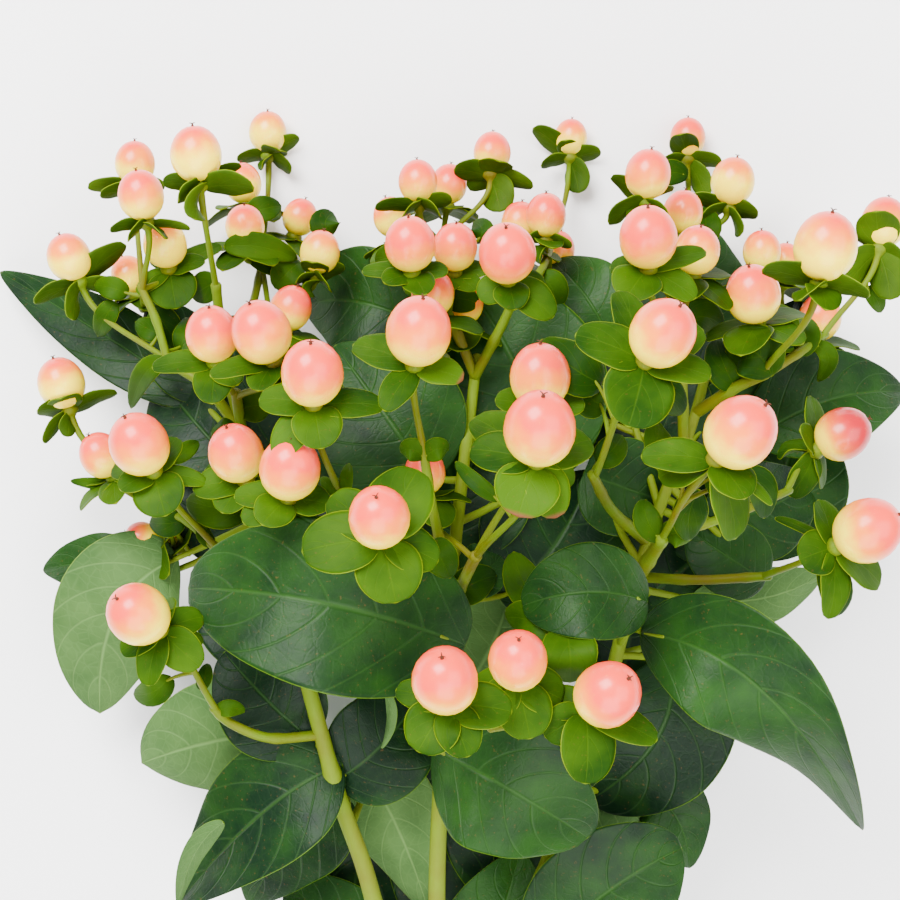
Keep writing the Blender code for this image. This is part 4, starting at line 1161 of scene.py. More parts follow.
@dataclass(frozen=True, kw_only=True)
class BarkSkin(Finish):
    """Green or woody bark with fine lengthwise streaks, browner towards the cut end."""

    green: tuple
    flush: tuple
    brown: tuple
    patch_scale: float = 90.0
    speck_scale: float = 1800.0
    streak_scale: float = 1600.0
    streak_stretch: tuple = (1.0, 0.12, 1.0)
    streak_share: float = 0.2
    flush_gain: float = 2.2
    flush_offset: float = -0.85
    woody_from: float = -0.05
    woody_full: float = -0.15
    bump_strength: float = 0.4
    bump_depth: float = 0.0002

    def material(self, mottle: bpy.types.NodeTree, veins: bpy.types.NodeTree) -> bpy.types.Material:
        """Builds the material from the shared mottle group, with streaks along the stem."""
        material, shader, skin = self.start()
        spots = shader.spots(mottle, self.patch_scale, self.speck_scale)
        place = shader.node("ShaderNodeTexCoord").outputs["Object"]
        drawn = shader.node("ShaderNodeMapping", {"Vector": place, "Scale": self.streak_stretch})
        streaks = shader.node("ShaderNodeTexNoise", {"Vector": drawn.outputs[0],
                                                     "Scale": self.streak_scale, "Detail": 3.0})
        flushed = shader.calc("MULTIPLY_ADD", spots.outputs["Patches"], self.flush_gain,
                              self.flush_offset, clamp=True)
        colour = shader.mix(flushed, self.green, self.flush)
        level = shader.node("ShaderNodeSeparateXYZ", {0: place}).outputs[1]
        woody = shader.span(level, self.woody_from, self.woody_full)
        browned = shader.calc("MULTIPLY", woody, shader.attribute("tone"))
        colour = shader.mix(browned, colour, self.brown)
        streaked = shader.calc("MULTIPLY", streaks.outputs[0], self.streak_share)
        colour = shader.mix(streaked, colour, self.brown)
        shader.tree.links.new(colour, skin.inputs["Base Color"])
        self.bump(shader, skin, streaks.outputs[0], self.bump_strength, self.bump_depth)
        return material


@dataclass(frozen=True, kw_only=True)
class PlainSkin(Finish):
    """A surface of one colour with soft patches: the cut wood, the dried tips and the floor."""

    colour: tuple
    patch: tuple

    def material(self, mottle: bpy.types.NodeTree, veins: bpy.types.NodeTree) -> bpy.types.Material:
        """Builds the material from the shared mottle group."""
        material, shader, skin = self.start()
        spots = shader.spots(mottle, self.patch_scale, self.speck_scale)
        colour = shader.mix(spots.outputs["Patches"], self.colour, self.patch)
        shader.tree.links.new(colour, skin.inputs["Base Color"])
        return material


# The dark end is darker than a leaf's own green: painted shade for low-toned leaves.
LEAF_UPPER = BladeSkin(
    name="leaf_upper", roughness=0.45, gloss=0.1, dark=paint(0.0012, 0.010, 0.0025),
    light=paint(0.010, 0.045, 0.003), vein=paint(0.03, 0.085, 0.012), rim=paint(0.06, 0.12, 0.004),
    blemish=paint(0.1, 0.05, 0.012), pairs=6.0, sweep=0.3, rim_width=0.018, vein_share=0.3,
    net_share=0.12, blemish_share=0.35, bump_depth=0.0004)
LEAF_UNDER = BladeSkin(
    name="leaf_under", roughness=0.65, gloss=0.08, dark=paint(0.028, 0.07, 0.016),
    light=paint(0.06, 0.125, 0.03), vein=paint(0.12, 0.22, 0.06), rim=paint(0.12, 0.2, 0.03),
    blemish=paint(0.1, 0.07, 0.02), pairs=6.0, sweep=0.3, rim_width=0.02, vein_share=0.5,
    net_share=0.2, blemish_share=0.1, bump_depth=0.0004)
SEPAL_UPPER = BladeSkin(
    name="sepal_upper", roughness=0.55, gloss=0.05, dark=paint(0.0045, 0.024, 0.0),
    light=paint(0.03, 0.075, 0.0), vein=paint(0.06, 0.12, 0.0), rim=paint(0.11, 0.16, 0.0),
    blemish=paint(0.11, 0.04, 0.015), pairs=3.0, sweep=0.8, rim_width=0.045, vein_share=0.16,
    net_share=0.08, blemish_share=0.2, bump_depth=0.0001)
SEPAL_UNDER = BladeSkin(
    name="sepal_under", roughness=0.55, gloss=0.06, dark=paint(0.012, 0.033, 0.0),
    light=paint(0.04, 0.085, 0.0), vein=paint(0.06, 0.11, 0.002), rim=paint(0.07, 0.12, 0.001),
    blemish=paint(0.1, 0.035, 0.015), pairs=3.0, sweep=0.8, rim_width=0.06, vein_share=0.25,
    net_share=0.1, blemish_share=0.2, bump_depth=0.0001)
BERRY = BerrySkin(
    name="berry_skin", roughness=0.3, coat=0.25, gloss=0.25, base=paint(0.96, 0.7, 0.0),
    middle=paint(0.88, 0.22, 0.004), blush=paint(0.82, 0.05, 0.024), deep=paint(0.42, 0.004, 0.014))
GREEN_TWIG = BarkSkin(
    name="green_twig", roughness=0.5, gloss=0.1, green=paint(0.085, 0.15, 0.001),
    flush=paint(0.11, 0.065, 0.006), brown=paint(0.06, 0.025, 0.004))
WOOD_BARK = BarkSkin(
    name="wood_bark", roughness=0.6, gloss=0.1, green=paint(0.11, 0.18, 0.003),
    flush=paint(0.1, 0.1, 0.008), brown=paint(0.07, 0.035, 0.008))
CUT_WOOD = PlainSkin(
    name="cut_wood", roughness=0.8, gloss=0.1, colour=paint(0.4, 0.42, 0.16),
    patch=paint(0.32, 0.36, 0.12), patch_scale=900.0)
PITH = PlainSkin(
    name="cut_pith", roughness=0.9, gloss=0.1, colour=paint(0.5, 0.44, 0.28),
    patch=paint(0.38, 0.32, 0.18), patch_scale=1500.0)
DRIED_TIP = PlainSkin(
    name="dried_tip", roughness=0.8, gloss=0.2, colour=paint(0.03, 0.006, 0.003),
    patch=paint(0.1, 0.03, 0.012), patch_scale=900.0)
FLOOR = PlainSkin(
    name="studio_floor", roughness=0.9, gloss=0.1, colour=paint(0.93, 0.93, 0.93),
    patch=paint(0.9, 0.9, 0.9), patch_scale=4.0)


@dataclass
class Palette:
    """All the materials of the branch, each built once from its finish."""

    mottle: bpy.types.NodeTree = field(default_factory=mottle_group)
    veins: bpy.types.NodeTree = field(default_factory=vein_group)
    made: dict = field(default_factory=dict)

    def slots(self, *finishes: Finish) -> list[bpy.types.Material]:
        """Gives the materials of several finishes, in the order of their slots."""
        return [self.get(finish) for finish in finishes]

    def get(self, finish: Finish) -> bpy.types.Material:
        """Gives the material of a finish."""
        if finish.name not in self.made:
            self.made[finish.name] = finish.material(self.mottle, self.veins)
        return self.made[finish.name]


SET_BACK = 1.5


def nearest(spots: np.ndarray, wanted: np.ndarray) -> np.ndarray:
    """Gives the spot that lies nearest to the wanted one."""
    return spots[np.argmin(np.linalg.norm(spots - wanted, axis=1))]


def twig_path(twig: Twig, steps: int) -> np.ndarray:
    """Gives the points along the middle of a twig."""
    return smooth_path([SIGHT.place(spot) for spot in twig.spots], steps)


def twig_end(twig: Twig) -> np.ndarray:
    """Gives where the pedicels of a twig start, a little back from its tip."""
    path = twig_path(twig, 1)
    return path[-1] - unit(path[-1] - path[-2]) * twig.tip_radius * SET_BACK


@dataclass(frozen=True)
class Joints:
    """The slight swellings that the wood has where leaves once sat."""

    spacing: float
    length: float
    swell: float

    def radii(self, path: np.ndarray, first: float, last: float) -> np.ndarray:
        """Gives the radius at each point of a path.

        Args:
            path: The points along the wood, in millimetres.
            first: Its radius at the start.
            last: Its radius at the end.

        Returns:
            One radius for each point.
        """
        length = np.concatenate([[0.0], np.cumsum(np.linalg.norm(np.diff(path, axis=0), axis=1))])
        phase = (length + self.spacing / 3) / self.spacing
        rise = np.exp(-((phase - np.round(phase)) * self.spacing / self.length) ** 2)
        return np.linspace(first, last, len(path)) * (1 + self.swell * rise)


@dataclass
class NodeTool:
    """A Geometry Nodes tree, run on a carrier of points and edges, that gives a plain mesh."""

    title: str
    material: bpy.types.Material
    inputs: dict[str, str]

    def tree(self) -> tuple[bpy.types.NodeTree, dict[str, str]]:
        """Builds the tree, ending in Realize Instances and Set Material.

        Returns:
            The tree, and the identifier of each of its named inputs.
        """
        tree = bpy.data.node_groups.new(self.title, "GeometryNodeTree")
        add = tree.interface.new_socket
        add(name="Geometry", in_out="INPUT", socket_type="NodeSocketGeometry")
        sockets = {name: add(name=name, in_out="INPUT", socket_type=kind).identifier
                   for name, kind in self.inputs.items()}
        add(name="Geometry", in_out="OUTPUT", socket_type="NodeSocketGeometry")
        maker = Shader(tree)
        shaped = self.shape(maker, maker.node("NodeGroupInput"))
        real = maker.node("GeometryNodeRealizeInstances", {"Geometry": shaped})
        dressed = maker.node("GeometryNodeSetMaterial",
                             {"Geometry": real.outputs[0], "Material": self.material})
        maker.node("NodeGroupOutput", {0: dressed.outputs[0]})
        return tree, sockets

    def shape(self, maker: Shader, given: bpy.types.Node) -> bpy.types.NodeSocket:
        """Adds the nodes that make the shape.

        Args:
            maker: The Shader that adds nodes to the tree.
            given: The tree's input node.

        Returns:
            The output that carries the shape.
        """
        raise NotImplementedError

    def run(self, points: np.ndarray, edges: list, fields: dict[str, np.ndarray],
            values: dict, unit_size: float = MM, lying: bool = True) -> bpy.types.Mesh:
        """Runs the tree and gives its mesh.

        Args:
            points: The carrier's points, in units.
            edges: The carrier's edges.
            fields: A number or a vector for each point, by name.
            values: The value of each of the tree's inputs, by name.
            unit_size: The size of a unit, in metres.
            lying: Whether the mesh lies on the surface, and is pressed on it where it comes near.

        Returns:
            The plain mesh.
        """
        mesh = bpy.data.meshes.new(f"{self.title}_carrier")
        mesh.from_pydata((points * unit_size).tolist(), edges, [])
        for name, numbers in fields.items():
            note(mesh, name, numbers)
        carrier = put(f"{self.title}_carrier", mesh)
        tree, sockets = self.tree()
        modifier = carrier.modifiers.new(self.title, "NODES")
        modifier.node_group = tree
        for name, value in values.items():
            modifier[sockets[name]] = value
        graph = bpy.context.evaluated_depsgraph_get()
        made = bpy.data.meshes.new_from_object(carrier.evaluated_get(graph), depsgraph=graph)
        carrier.modifiers.remove(modifier)
        bpy.data.objects.remove(carrier)
        if lying:
            places = np.empty(len(made.vertices) * 3, dtype=np.float32)
            made.vertices.foreach_get("co", places)
            made.vertices.foreach_set("co", (settle(places.reshape(-1, 3) / MM) * MM).ravel())
        return made


@dataclass
class Scatter(NodeTool):
    """Sets one template on many points, each with its own lean and width."""

    inputs: dict[str, str] = field(default_factory=lambda: {
        "Template": "NodeSocketObject", "Unit Width": "NodeSocketFloat", "Seed": "NodeSocketInt"})

    def shape(self, maker: Shader, given: bpy.types.Node) -> bpy.types.NodeSocket:
        """Adds the nodes that turn a copy of the template to each point's lean, spun by chance."""
        template = maker.node("GeometryNodeObjectInfo", {"Object": given.outputs["Template"]})
        lean = maker.node("GeometryNodeInputNamedAttribute", {"Name": "lean"},
                          data_type="FLOAT_VECTOR")
        width = maker.node("GeometryNodeInputNamedAttribute", {"Name": "width"}, data_type="FLOAT")
        aimed = maker.node("FunctionNodeAlignRotationToVector", {"Vector": lean.outputs[0]},
                           axis="Z")
        chance = {"Seed": given.outputs["Seed"], 3: 2 * math.pi}
        spin = maker.node("FunctionNodeRandomValue", chance, data_type="FLOAT")
        twist = maker.node("FunctionNodeAxisAngleToRotation",
                           {"Axis": (0.0, 0.0, 1.0), "Angle": spin.outputs[1]})
        turned = maker.node("FunctionNodeRotateRotation",
                            {0: aimed.outputs[0], 1: twist.outputs[0]}, rotation_space="LOCAL")
        scale = maker.node("ShaderNodeMath", {0: width.outputs[0], 1: given.outputs["Unit Width"]},
                           operation="MULTIPLY")
        spread = maker.node("GeometryNodeInstanceOnPoints",
                            {"Points": given.outputs["Geometry"],
                             "Instance": template.outputs["Geometry"],
                             "Rotation": turned.outputs[0], "Scale": scale.outputs[0]})
        return spread.outputs[0]

    def build(self, name: str, template: bpy.types.Object, fields: dict[str, np.ndarray],
              points: np.ndarray, seed: int) -> bpy.types.Object:
        """Sets the template on the points.

        Args:
            name: The piece's name.
            template: The object that is repeated, one unit wide, pointing along Z. It is used up.
            fields: Each copy's lean, width in millimetres and ripeness.
            points: Where each copy goes, in millimetres.
            seed: The seed of their turns.

        Returns:
            The new object, riding on the branch.
        """
        mesh = self.run(points, [], fields, {"Template": template, "Unit Width": MM, "Seed": seed})
        bpy.data.objects.remove(template)
        return carry(name, mesh)


ROUND_END = ((0.5, 0.4), (0.35, 0.8))
CUT_END = ((0.04, 0.94),)


@dataclass
class SweptWood(NodeTool):
    """Sweeps a round section along paths, with its own radius at each point."""

    inputs: dict[str, str] = field(default_factory=lambda: {
        "Sides": "NodeSocketInt", "Unit Radius": "NodeSocketFloat"})
    sides: int = 12
    points: list = field(default_factory=list)
    edges: list = field(default_factory=list)
    radii: list = field(default_factory=list)
    tones: list = field(default_factory=list)
    count: int = 0

    def add(self, path: np.ndarray, radii: np.ndarray, tone: float = 0.0,
            cut: bool = False) -> None:
        """Adds a path, rounded off at both ends or cut flat at its start.

        Args:
            path: The points along it, in millimetres.
            radii: Its radius at each of them.
            tone: How woody it is.
            cut: Whether its start is a flat cut.
        """
        first, last = unit(path[0] - path[1]) * radii[0], unit(path[-1] - path[-2]) * radii[-1]
        start = CUT_END if cut else ROUND_END
        whole = np.concatenate([[path[0] + first * step for step, _ in start], path,
                                [path[-1] + last * step for step, _ in reversed(ROUND_END)]])
        around = np.concatenate([[radii[0] * girth for _, girth in start], radii,
                                 [radii[-1] * girth for _, girth in reversed(ROUND_END)]])
        self.edges += [(self.count + i, self.count + i + 1) for i in range(len(whole) - 1)]
        self.points.append(whole)
        self.radii.append(around)
        self.tones.append(np.full(len(whole), tone))
        self.count += len(whole)

    def shape(self, maker: Shader, given: bpy.types.Node) -> bpy.types.NodeSocket:
        """Adds the nodes that sweep the section, with closed ends."""
        paths = maker.node("GeometryNodeMeshToCurve", {"Mesh": given.outputs["Geometry"]})
        section = maker.node("GeometryNodeCurvePrimitiveCircle",
                             {"Resolution": given.outputs["Sides"],
                              "Radius": given.outputs["Unit Radius"]})
        radius = maker.node("GeometryNodeInputNamedAttribute", {"Name": "girth"}, data_type="FLOAT")
        swept = maker.node("GeometryNodeCurveToMesh",
                           {"Curve": paths.outputs[0], "Profile Curve": section.outputs[0],
                            "Scale": radius.outputs[0], "Fill Caps": True})
        return swept.outputs[0]

    def mesh(self, unit_size: float = MM, lying: bool = True) -> bpy.types.Mesh:
        """Gives the mesh of all its paths, in units of the given size in metres."""
        fields = {"girth": np.concatenate(self.radii), "tone": np.concatenate(self.tones)}
        return self.run(np.concatenate(self.points), self.edges, fields,
                        {"Sides": self.sides, "Unit Radius": unit_size}, unit_size, lying)


@dataclass
class LeafyBranch:
    """The wood of the branch with its large leaves."""

    palette: Palette
    wood_sides: int = 18
    wood_steps: int = 14
    stalk_steps: int = 9
    search_steps: int = 8
    stalk_radius: float = 0.95
    stalk_taper: float = 0.45
    stalk_overlap: float = 0.1
    joints: Joints = Joints(spacing=38.0, length=2.2, swell=0.2)
    cut_faces: tuple = (("cut_wood", CUT_WOOD, 0.86, 0.15), ("cut_pith", PITH, 0.3, 0.25))

    def wood(self, swept: SweptWood) -> None:
        """Adds the stem and its shoots, swollen at their joints."""
        for twig in WOOD:
            path = twig_path(twig, self.wood_steps)
            radii = self.joints.radii(path, twig.base_radius, twig.tip_radius)
            swept.add(path, radii, 1.0, cut=twig is WOOD[0])

    def cut_end(self) -> list[bpy.types.Object]:
        """Makes the pale wood and the pith that the cut through the stem shows."""
        stem = WOOD[0]
        path = twig_path(stem, self.wood_steps)
        out = unit(path[0] - path[1])
        made = []
        for name, finish, share, proud in self.cut_faces:
            swept = SweptWood(f"{name}_sweep", self.palette.get(finish), sides=self.wood_sides)
            ends = np.array([path[0] + out * proud, path[0] - out])
            swept.add(ends, np.full(2, stem.base_radius * share), cut=True)
            made.append(carry(name, swept.mesh()))
        return made

    def stalk(self, swept: SweptWood, leaf: Leaf) -> None:
        """Adds the short stalk that joins a leaf to the nearest shoot."""
        spine = leaf.spine()
        spots = np.concatenate([twig_path(twig, self.search_steps) for twig in WOOD])
        root = nearest(spots, SIGHT.place(leaf.root) if leaf.root else spine[0])
        inside = bezier(spine, np.array([self.stalk_overlap]))[0]
        path = bezier([root, spine[0], inside], np.linspace(0, 1, self.stalk_steps))
        last = self.stalk_radius * self.stalk_taper
        swept.add(path, np.linspace(self.stalk_radius, last, self.stalk_steps))

    def leaf(self, maker: MeshMaker, leaf: Leaf) -> None:
        """Adds the blade of a leaf."""
        face = np.array(leaf.face, dtype=float)
        tip_face = np.array(leaf.tip_face or leaf.face, dtype=float)
        form = BLUNT_LEAF_FORM if leaf.name in BLUNT_LEAVES else LEAF_FORM
        # The tone sets the ground colour; the low tones of shaded leaves are painted shade.
        tone = LEAF_TONES_AND_SHADE.get(leaf.name, leaf.tone)
        form.add(maker, leaf.spine(), face, tip_face, leaf.width, tone, random.Random(leaf.name))

    def build(self) -> None:
        """Builds the wood and the blades."""
        maker = MeshMaker()
        swept = SweptWood("wood_sweep", self.palette.get(WOOD_BARK), sides=self.wood_sides)
        self.wood(swept)
        for leaf in LEAVES + HEART_LEAVES:
            self.leaf(maker, leaf)
            self.stalk(swept, leaf)
        for leaf in FOLDED_MARGINS:
            self.leaf(maker, leaf)
        blades = maker.build("leaf_blades", self.palette.slots(LEAF_UPPER, LEAF_UNDER))
        self.dress(blades, carry("stem_and_shoots", swept.mesh()), *self.cut_end())

    def dress(self, *pieces: bpy.types.Object) -> None:
        """Hides the leafy branch of the solids."""
        for piece in pieces:
            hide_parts("leafy_branch")


@dataclass
class Spray:
    """One spray: its twigs, and a pedicel with a calyx of five sepals for each of its berries."""

    name: str
    members: tuple
    palette: Palette
    sepal_length: float = 13.5
    sepal_width: float = 10.4
    standard_width: float = 13.0
    slenderness: float = 1.1
    calyx_drop: float = 0.8
    pedicel_radius: float = 0.7
    receptacle_radius: float = 2.0
    twig_sides: int = 12
    twig_steps: int = 12
    search_steps: int = 8
    joints: Joints = Joints(spacing=15.0, length=1.3, swell=0.16)
    thinnest_pedicel: float = 0.6
    pedicel_steps: tuple = (8, 6)
    pedicel_swell: tuple = (1.15, 1.0, 1.3)
    pedicel_bow: float = 0.35
    pedicel_stop: float = 1.6
    receptacle: tuple = ((-0.9, 0.72), (-0.3, 1.0), (0.4, 1.05), (1.1, 0.9))
    sepals: int = 5
    broad_sepals: tuple = (0, 2)
    narrow_share: float = 0.78
    smallest_calyx: float = 0.45
    length_by_breadth: tuple = (0.55, 0.45)
    droop: tuple = (0.02, 0.42)
    sepal_tones: tuple = (0.25, 0.7)
    dry_tone: float = 2.0
    sepal_overlap: float = 0.5
    sepal_layer: float = 0.3
    sepal_arch: float = 0.1
    sepal_curl: float = 0.3
    sepal_widening: float = 1.05
    camera_tilt: np.ndarray = field(default_factory=lambda: np.array([0.0, 0.0, 0.8]))
    petiole_steps: int = 6
    petiole_radii: tuple = (0.55, 0.3)
    petiole_overlap: float = 0.12
    petiole_elbow: float = 0.5

    def twigs(self) -> dict[str, Twig]:
        """Gives the twigs by name."""
        return {member.name: member for member in self.members if isinstance(member, Twig)}

    def berries(self) -> list[Berry]:
        """Gives the berries that the solids have and those that only fill the shade."""
        own = [member for member in self.members if isinstance(member, Berry)]
        return own + list(HEART_BERRIES.get(self.name, ()))

    def foot(self, berry: Berry) -> tuple[np.ndarray, np.ndarray]:
        """Gives where the calyx of a berry sits, and the axis of both."""
        axis = unit(np.array(berry.lean, dtype=float))
        length = berry.width * self.slenderness
        middle = SIGHT.place((berry.px, berry.py, berry.height))
        return middle - axis * (length / 2 + self.calyx_drop), axis

    def pedicel(self, swept: SweptWood, berry: Berry) -> None:
        """Adds the stalk of a berry, flared into the receptacle that carries it."""
        foot, axis = self.foot(berry)
        path = np.concatenate([self.pedicel_path(berry),
                               [foot + axis * step for step, _ in self.receptacle]])
        least = self.thinnest_pedicel
        thin = self.pedicel_radius * (least + (1 - least) * berry.width / self.standard_width)
        first, middle, last = (thin * swell for swell in self.pedicel_swell)
        flare = np.array([girth for _, girth in self.receptacle]) * self.receptacle_radius
        radii = np.concatenate([np.linspace(first, middle, self.pedicel_steps[0]),
                                np.linspace(middle, last, self.pedicel_steps[1]), flare])
        swept.add(path, radii)

    def drawn_sepals(self, berry: Berry) -> list[tuple]:
        """Places the sepals by their table: each as its tip point and its width in millimetres."""
        foot, _ = self.foot(berry)
        return [(SIGHT.place((px, py, foot[2] + rise)), width)
                for px, py, rise, width in SEPAL_TIPS[berry.number]]

    def ruled_sepals(self, berry: Berry, draw: random.Random) -> list[tuple]:
        """Places the sepals by the rule: two broad and three narrower, all bent back a little."""
        foot, axis = self.foot(berry)
        across = square_to(axis, np.array([0.0, 0.0, 1.0]))
        other = np.cross(axis, across)
        least, (base, gain) = self.smallest_calyx, self.length_by_breadth
        size = least + (1 - least) * berry.width / self.standard_width
        turn = draw.uniform(0.0, 2 * math.pi)
        droops = [draw.uniform(*self.droop) for _ in range(self.sepals)]
        placed = []
        for index, droop in enumerate(droops):
            angle = turn + 2 * math.pi * index / self.sepals
            out = across * math.cos(angle) + other * math.sin(angle)
            broad = 1.0 if index in self.broad_sepals else self.narrow_share
            length = self.sepal_length * size * (base + gain * broad)
            tip = foot + out * length - axis * length * droop
            placed.append((tip, self.sepal_width * size * broad))
        return placed

    def calyx(self, maker: MeshMaker, berry: Berry) -> None:
        """Adds the five sepals below a berry."""
        foot, axis = self.foot(berry)
        draw = random.Random(berry.number)
        drawn = berry.number in SEPAL_TIPS
        placed = self.drawn_sepals(berry) if drawn else self.ruled_sepals(berry, draw)
        for index, (tip, width) in enumerate(placed):
            out = unit(tip - foot)
            length = np.linalg.norm(tip - foot)
            start = foot + out * self.sepal_overlap - axis * self.sepal_layer * (index % 2)
            bend = foot + out * length * 0.5 + square_to(out, axis) * length * self.sepal_arch
            dry = index in DRY_SEPALS.get(berry.number, ())
            tone = self.dry_tone if dry else draw.uniform(*self.sepal_tones)
            turned = Facing.AWAY if berry.number in TURNED_AWAY else Facing.TOWARD
            facing = axis + self.camera_tilt * turned.value * drawn
            SEPAL_FORM.add(maker, [start, bend, tip], facing, facing + out * self.sepal_curl,
                           width * self.sepal_widening, tone, draw)

    def pedicel_path(self, berry: Berry) -> np.ndarray:
        """Gives the points along the stalk of a berry, up to the calyx."""
        foot, axis = self.foot(berry)
        start = twig_end(self.twigs()[berry.twig])
        reach = np.linalg.norm(foot - start)
        bow = self.pedicel_bow
        curve = [start, start + (foot - start) * bow, foot - axis * reach * bow,
                 foot - axis * self.pedicel_stop]
        return bezier(curve, np.linspace(0, 1, sum(self.pedicel_steps)))

    def bract(self, maker: MeshMaker, swept: SweptWood, leaf: Leaf) -> None:
        """Adds a small leaf, with a petiole from the nearest twig or pedicel of the spray."""
        spine, face = leaf.spine(), np.array(leaf.face, dtype=float)
        own = random.Random(leaf.name)
        SMALL_LEAF_FORM.add(maker, spine, face, face, leaf.width, leaf.tone, own)
        wood = np.concatenate([twig_path(twig, self.search_steps) for twig in self.twigs().values()]
                              + [self.pedicel_path(berry) for berry in self.berries()])
        root = nearest(wood, spine[0])
        inside = bezier(spine, np.array([self.petiole_overlap]))[0]
        middle, near = (root + spine[0]) / 2, 1 - self.petiole_elbow
        elbow = middle * self.petiole_elbow + spine[0] * near
        path = bezier([root, elbow, inside], np.linspace(0, 1, self.petiole_steps))
        swept.add(path, np.linspace(*self.petiole_radii, self.petiole_steps))

    def build(self) -> None:
        """Builds the green wood and the sepals and bracts of the spray."""
        maker = MeshMaker()
        swept = SweptWood("twig_sweep", self.palette.get(GREEN_TWIG), sides=self.twig_sides)
        for twig in self.twigs().values():
            path = twig_path(twig, self.twig_steps)
            swept.add(path, self.joints.radii(path, twig.base_radius, twig.tip_radius))
        own = [member for member in self.members if isinstance(member, Leaf)]
        for leaf in [*own, *BRACTS.get(self.name, ())]:
            self.bract(maker, swept, leaf)
        for berry in self.berries():
            self.pedicel(swept, berry)
            self.calyx(maker, berry)
        sepals = maker.build(f"{self.name}_sepals", self.palette.slots(SEPAL_UPPER, SEPAL_UNDER))
        self.dress(sepals, carry(f"{self.name}_twigs", swept.mesh()))

    def dress(self, *pieces: bpy.types.Object) -> None:
        """Hides the spray of the solids."""
        for piece in pieces:
            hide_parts(self.name)


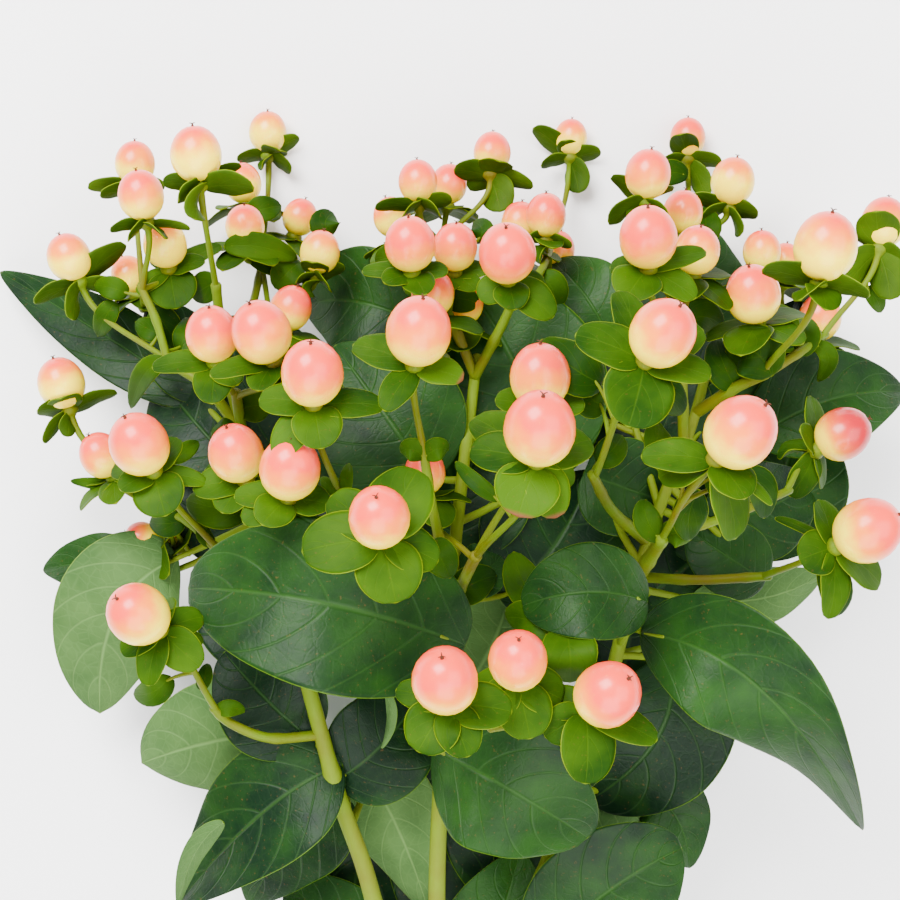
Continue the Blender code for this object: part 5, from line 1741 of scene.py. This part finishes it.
@dataclass
class Fruit:
    """All the berries, with the dried style tips they carry."""

    palette: Palette
    sprays: list
    rings: int = 15
    segments: int = 22
    slenderness: float = 1.1
    furrows: int = 3
    furrow_depth: float = 0.012
    roundness: float = 0.95
    taper: float = 0.08
    tip_dent: float = 0.012
    knob: tuple = ((-0.3, 0.5), (0.1, 0.42), (0.4, 0.25))
    prongs: int = 3
    prong_spots: tuple = ((0.0, 0.2), (0.2, 0.8), (0.9, 0.75))
    prong_radii: tuple = (0.2, 0.11)
    prong_steps: int = 5
    tip_sides: int = 6
    tip_share: float = 0.066
    berry_seed: int = 7
    tip_seed: int = 11

    def berry_template(self) -> bpy.types.Object:
        """Makes one berry, one unit wide: an oval with three shallow furrows and a sunken tip."""
        angles = np.linspace(0, math.pi, self.rings)
        turns = np.linspace(0, 2 * math.pi, self.segments, endpoint=False)
        along = (1 - np.cos(angles)) / 2
        radius = 0.5 * np.sin(angles) ** self.roundness * (1.0 - self.taper * (along - 0.5))
        waves = self.furrow_depth * np.cos(self.furrows * turns)[None, :] * np.sin(angles)[:, None]
        round_about = radius[:, None] * (1 - waves)
        height = (along - 0.5) * self.slenderness
        height[-1] -= self.tip_dent
        points = np.stack([round_about * np.cos(turns), round_about * np.sin(turns),
                           height[:, None] * np.ones(self.segments)], axis=-1)[1:-1].reshape(-1, 3)
        points = np.concatenate([[[0, 0, height[0]]], points, [[0, 0, height[-1]]]])
        faces = []
        last = len(points) - 1
        for turn in range(self.segments):
            after = (turn + 1) % self.segments
            faces.append((0, 1 + after, 1 + turn))
            for ring in range(self.rings - 3):
                a, b = 1 + ring * self.segments + turn, 1 + ring * self.segments + after
                faces.append((a, b, b + self.segments, a + self.segments))
            top = 1 + (self.rings - 3) * self.segments
            faces.append((top + turn, top + after, last))
        mesh = bpy.data.meshes.new("berry_template")
        mesh.from_pydata(points.tolist(), [], faces)
        shares = np.concatenate([[0.0], np.repeat(along[1:-1], self.segments), [1.0]])
        note(mesh, "along", shares)
        return put("berry_template", mesh)

    def tip_template(self) -> bpy.types.Object:
        """Makes one dried style: a little knob with three short curled prongs."""
        swept = SweptWood("style_sweep", self.palette.get(DRIED_TIP), sides=self.tip_sides)
        up = np.array([0.0, 0.0, 1.0])
        swept.add(np.array([up * level for level, _ in self.knob]),
                  np.array([girth for _, girth in self.knob]))
        for prong in range(self.prongs):
            angle = 2 * math.pi * prong / self.prongs
            out = np.array([math.cos(angle), math.sin(angle), 0.0])
            spine = [up * level + out * reach for reach, level in self.prong_spots]
            swept.add(bezier(spine, np.linspace(0, 1, self.prong_steps)),
                      np.linspace(*self.prong_radii, self.prong_steps))
        return put("tip_template", swept.mesh(unit_size=1.0, lying=False))

    def build(self) -> None:
        """Builds the berries and their tips as two pieces."""
        berries = [berry for spray in self.sprays for berry in spray.berries()]
        points = np.array([SIGHT.place((b.px, b.py, b.height)) for b in berries])
        leans = unit(np.array([b.lean for b in berries], dtype=float))
        widths = np.array([b.width for b in berries])
        ripe = np.array([RIPENESS.get(b.number, b.ripeness) for b in berries])
        fruit = Scatter("berry_scatter", self.palette.get(BERRY)).build(
            "berries_ripe", self.berry_template(), {"lean": leans, "width": widths, "ripe": ripe},
            points, self.berry_seed)
        ends = points + leans * (widths * self.slenderness / 2)[:, None]
        tips = Scatter("tip_scatter", self.palette.get(DRIED_TIP)).build(
            "style_tips", self.tip_template(), {"lean": leans, "width": widths * self.tip_share},
            ends, self.tip_seed)
        self.dress(fruit, tips)

    def dress(self, fruit: bpy.types.Object, tips: bpy.types.Object) -> None:
        """Hides all the berry nodes of the solids."""
        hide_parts(*[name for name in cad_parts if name.startswith("berry_")])


@dataclass
class Studio:
    """The pale floor, the soft lights and the camera."""

    palette: Palette
    floor_half: float = 3.0
    aim: tuple = (0.0, 0.07, 0.05)
    lights: tuple = (("key", (-0.35, 0.6, 0.85), 0.6, 42.0), ("fill", (0.6, 0.0, 0.9), 0.9, 16.0),
                     ("front", (0.0, -0.6, 0.8), 0.9, 24.0))
    sky: float = 0.7

    def light(self, name: str, place: tuple, size: float, power: float) -> None:
        """Adds a soft square light that points at the branch.

        Args:
            name: Its name.
            place: Where it hangs, in metres.
            size: Its side.
            power: Its power in watts.
        """
        data = bpy.data.lights.new(name, "AREA")
        data.size = size
        data.energy = power
        lamp = put(name, data)
        lamp.location = place
        lamp.rotation_euler = (Vector(self.aim) - Vector(place)).to_track_quat("-Z", "Y").to_euler()

    def build(self) -> None:
        """Builds the floor, the lights, the sky and the camera."""
        half = self.floor_half
        mesh = bpy.data.meshes.new("floor")
        corners = [(-half, -half, 0), (half, -half, 0), (half, half, 0), (-half, half, 0)]
        mesh.from_pydata(corners, [], [(0, 1, 2, 3)])
        mesh.materials.append(self.palette.get(FLOOR))
        put("floor", mesh)
        for light in self.lights:
            self.light(*light)
        world = bpy.data.worlds.new("studio")
        world.use_nodes = True
        background = world.node_tree.nodes["Background"]
        background.inputs[0].default_value = (1.0, 1.0, 1.0, 1.0)
        background.inputs[1].default_value = self.sky
        bpy.context.scene.world = world
        SIGHT.build()


def main() -> None:
    """Builds every part of the branch in order, and the studio round it."""
    logging.basicConfig(level=logging.INFO, format="%(name)s %(message)s")
    palette = Palette()
    LeafyBranch(palette).build()
    sprays = [Spray(name, members, palette) for name, members in SPRAYS.items()]
    for spray in sprays:
        spray.build()
    Fruit(palette, sprays).build()
    Studio(palette).build()


if __name__ == "__main__":
    main()
